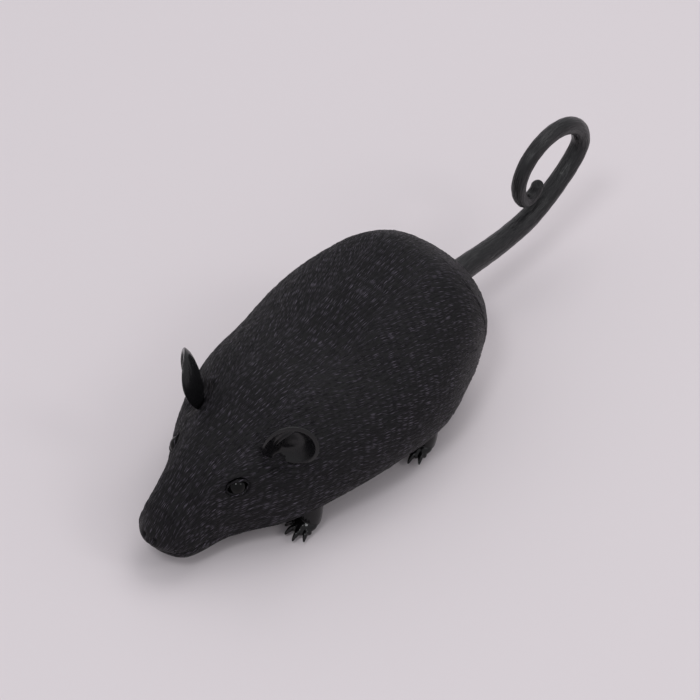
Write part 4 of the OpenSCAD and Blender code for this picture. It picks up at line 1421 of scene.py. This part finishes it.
@dataclass(frozen=True)
class Mechanism:
    """The CAD parts that keep their own shape, with the finish of each."""

    parts: tuple[tuple[MouldedFinish | MetalFinish, tuple[str, ...]], ...] = (
        (EYE_GLOSS, ("left_eye", "right_eye")),
        (BASE_PLASTIC, ("base_plate",)),
        (BUSH_NYLON, ("tail_bush",)),
        (HUB_PLASTIC, ("left_hub", "right_hub")),
        (PLATE_STEEL, ("left_motor_plate", "right_motor_plate", "mid_bridge", "rear_bridge")),
        (TURNED_STEEL, ("motor_pillars", "spring_post", "winding_arbor", "tail_pin", "second_shaft",
                        "drive_axle", "roller_axle", "click_rivet")),
        (SPRING_STEEL, ("mainspring", "click_spring", "arbor_clip", "ratchet_wheel")),
        (SCREW_STEEL, ("motor_screws", "shell_screws")),
        (GEAR_BRASS, ("crown_wheel", "second_pinion", "second_wheel", "axle_pinion")),
    )

    def dress(self) -> None:
        """Assigns each finish to the material slots of its nodes."""
        for finish, names in self.parts:
            material = finish.made()
            for name in names:
                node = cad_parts[name]
                if not node.material_slots:
                    node.data.materials.append(material)
                for slot in node.material_slots:
                    slot.material = material
                LOG.info("%s: finish %s", name, finish.name)


# ---------------------------------------------------------------- studio


@dataclass(frozen=True)
class Studio:
    """Pale floor, soft lights and the camera."""

    aim: tuple[float, float, float] = (0.0, -31.98 * MM, 20 * MM)
    azimuth: float = math.radians(42.682)
    elevation: float = math.radians(46.385)
    distance: float = 0.8522
    lens: float = 149.8
    sensor: float = 36.0
    across: float = 13.08 * MM
    above: float = 14.95 * MM
    paper: float = 4.0
    lift: float = 0.05
    surround: float = 0.64

    def axes(self) -> tuple[Vector, Vector, Vector]:
        """Directions back to the camera, to its right and to its top."""
        back = towards(self.azimuth, self.elevation)
        right = Vector((math.cos(self.azimuth), math.sin(self.azimuth), 0))
        return back, right, back.cross(right)

    def camera(self) -> None:
        """Places the camera, turned a little so that the mouse stands low and left of the middle."""
        back, right, top = self.axes()
        data = bpy.data.cameras.new("camera")
        data.lens = self.lens
        data.sensor_width = self.sensor
        data.clip_start, data.clip_end = 0.05, 20
        thing = bpy.data.objects.new("camera", data)
        bpy.context.scene.collection.objects.link(thing)
        thing.location = Vector(self.aim) + back * self.distance
        away = (back * self.distance - right * self.across - top * self.above).normalized()
        level = top.cross(away).normalized()
        turn = Matrix((level, away.cross(level), away)).transposed()
        thing.rotation_mode = "QUATERNION"
        thing.rotation_quaternion = turn.to_quaternion()
        bpy.context.scene.camera = thing

    def lamp(self, name: str, size: float, power: float, azimuth: float, elevation: float,
             distance: float, colour: tuple[float, float, float]) -> None:
        """Adds a square soft light that points at the mouse.

        Args:
            name: The light's name.
            size: Side of the square.
            power: Power in watts.
            azimuth: Direction round the mouse in degrees, counted as the camera's.
            elevation: Angle above the floor in degrees.
            distance: Distance from the mouse.
            colour: The light's colour.
        """
        back = towards(math.radians(azimuth), math.radians(elevation))
        data = bpy.data.lights.new(name, "AREA")
        data.size = size
        data.energy = power
        data.color = colour
        thing = bpy.data.objects.new(name, data)
        bpy.context.scene.collection.objects.link(thing)
        thing.location = Vector(self.aim) + back * distance
        thing.rotation_mode = "QUATERNION"
        thing.rotation_quaternion = (-back).to_track_quat("-Z", "Y")

    def floor(self) -> None:
        """Lays a square of paper that is flat under the mouse and rises a little far out."""
        count = 41
        s = np.linspace(-self.paper, self.paper, count)
        x, y = np.meshgrid(s, s, indexing="ij")
        grid = np.stack([x, y, self.lift * smooth(np.hypot(x, y), self.paper / 2, self.paper)], -1)
        thing = Skin(grid.reshape(-1, 3), lattice(count, count), grid[..., :2].reshape(-1, 2)).piece("floor")
        if thing.data.polygons[0].normal.z < 0:
            thing.data.flip_normals()
        thing.data.materials.append(FloorFinish().made())

    def world(self) -> None:
        """Sets an even, faintly cool surround."""
        world = bpy.data.worlds.new("surround")
        world.use_nodes = True
        ground = world.node_tree.nodes["Background"]
        ground.inputs["Color"].default_value = tone(0.97, 0.96, 1.0)
        ground.inputs["Strength"].default_value = self.surround
        bpy.context.scene.world = world

    def build(self) -> None:
        """Makes the whole studio."""
        self.camera()
        self.floor()
        self.world()
        self.lamp("key", 0.75, 3.1, 188, 66, 1.2, (1.0, 0.985, 0.99))
        self.lamp("fill", 0.3, 3.6, 20, 60, 1.5, (0.97, 0.98, 1.0))
        self.lamp("rim", 0.3, 1.2, 110, 40, 1.3, (1.0, 1.0, 1.0))
        bpy.context.scene.view_settings.view_transform = "Standard"


def main() -> None:
    """Builds every piece, dresses the mechanism and sets up the studio."""
    logging.basicConfig(level=logging.INFO, format="%(name)s: %(message)s")
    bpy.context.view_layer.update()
    form = MouseForm()
    Studio().build()
    FurShell(form).build()
    for side in Side:
        Ear(form, side).build()
        Tyre(side).build()
        word = side.name.lower()
        Foot(form, f"front_{word}", side, -22.1 * MM).build()
        Foot(form, f"rear_{word}", side, 23.14 * MM).build()
    Tail().build()
    Roller().build()
    Mechanism().dress()


if __name__ == "__main__":
    main()
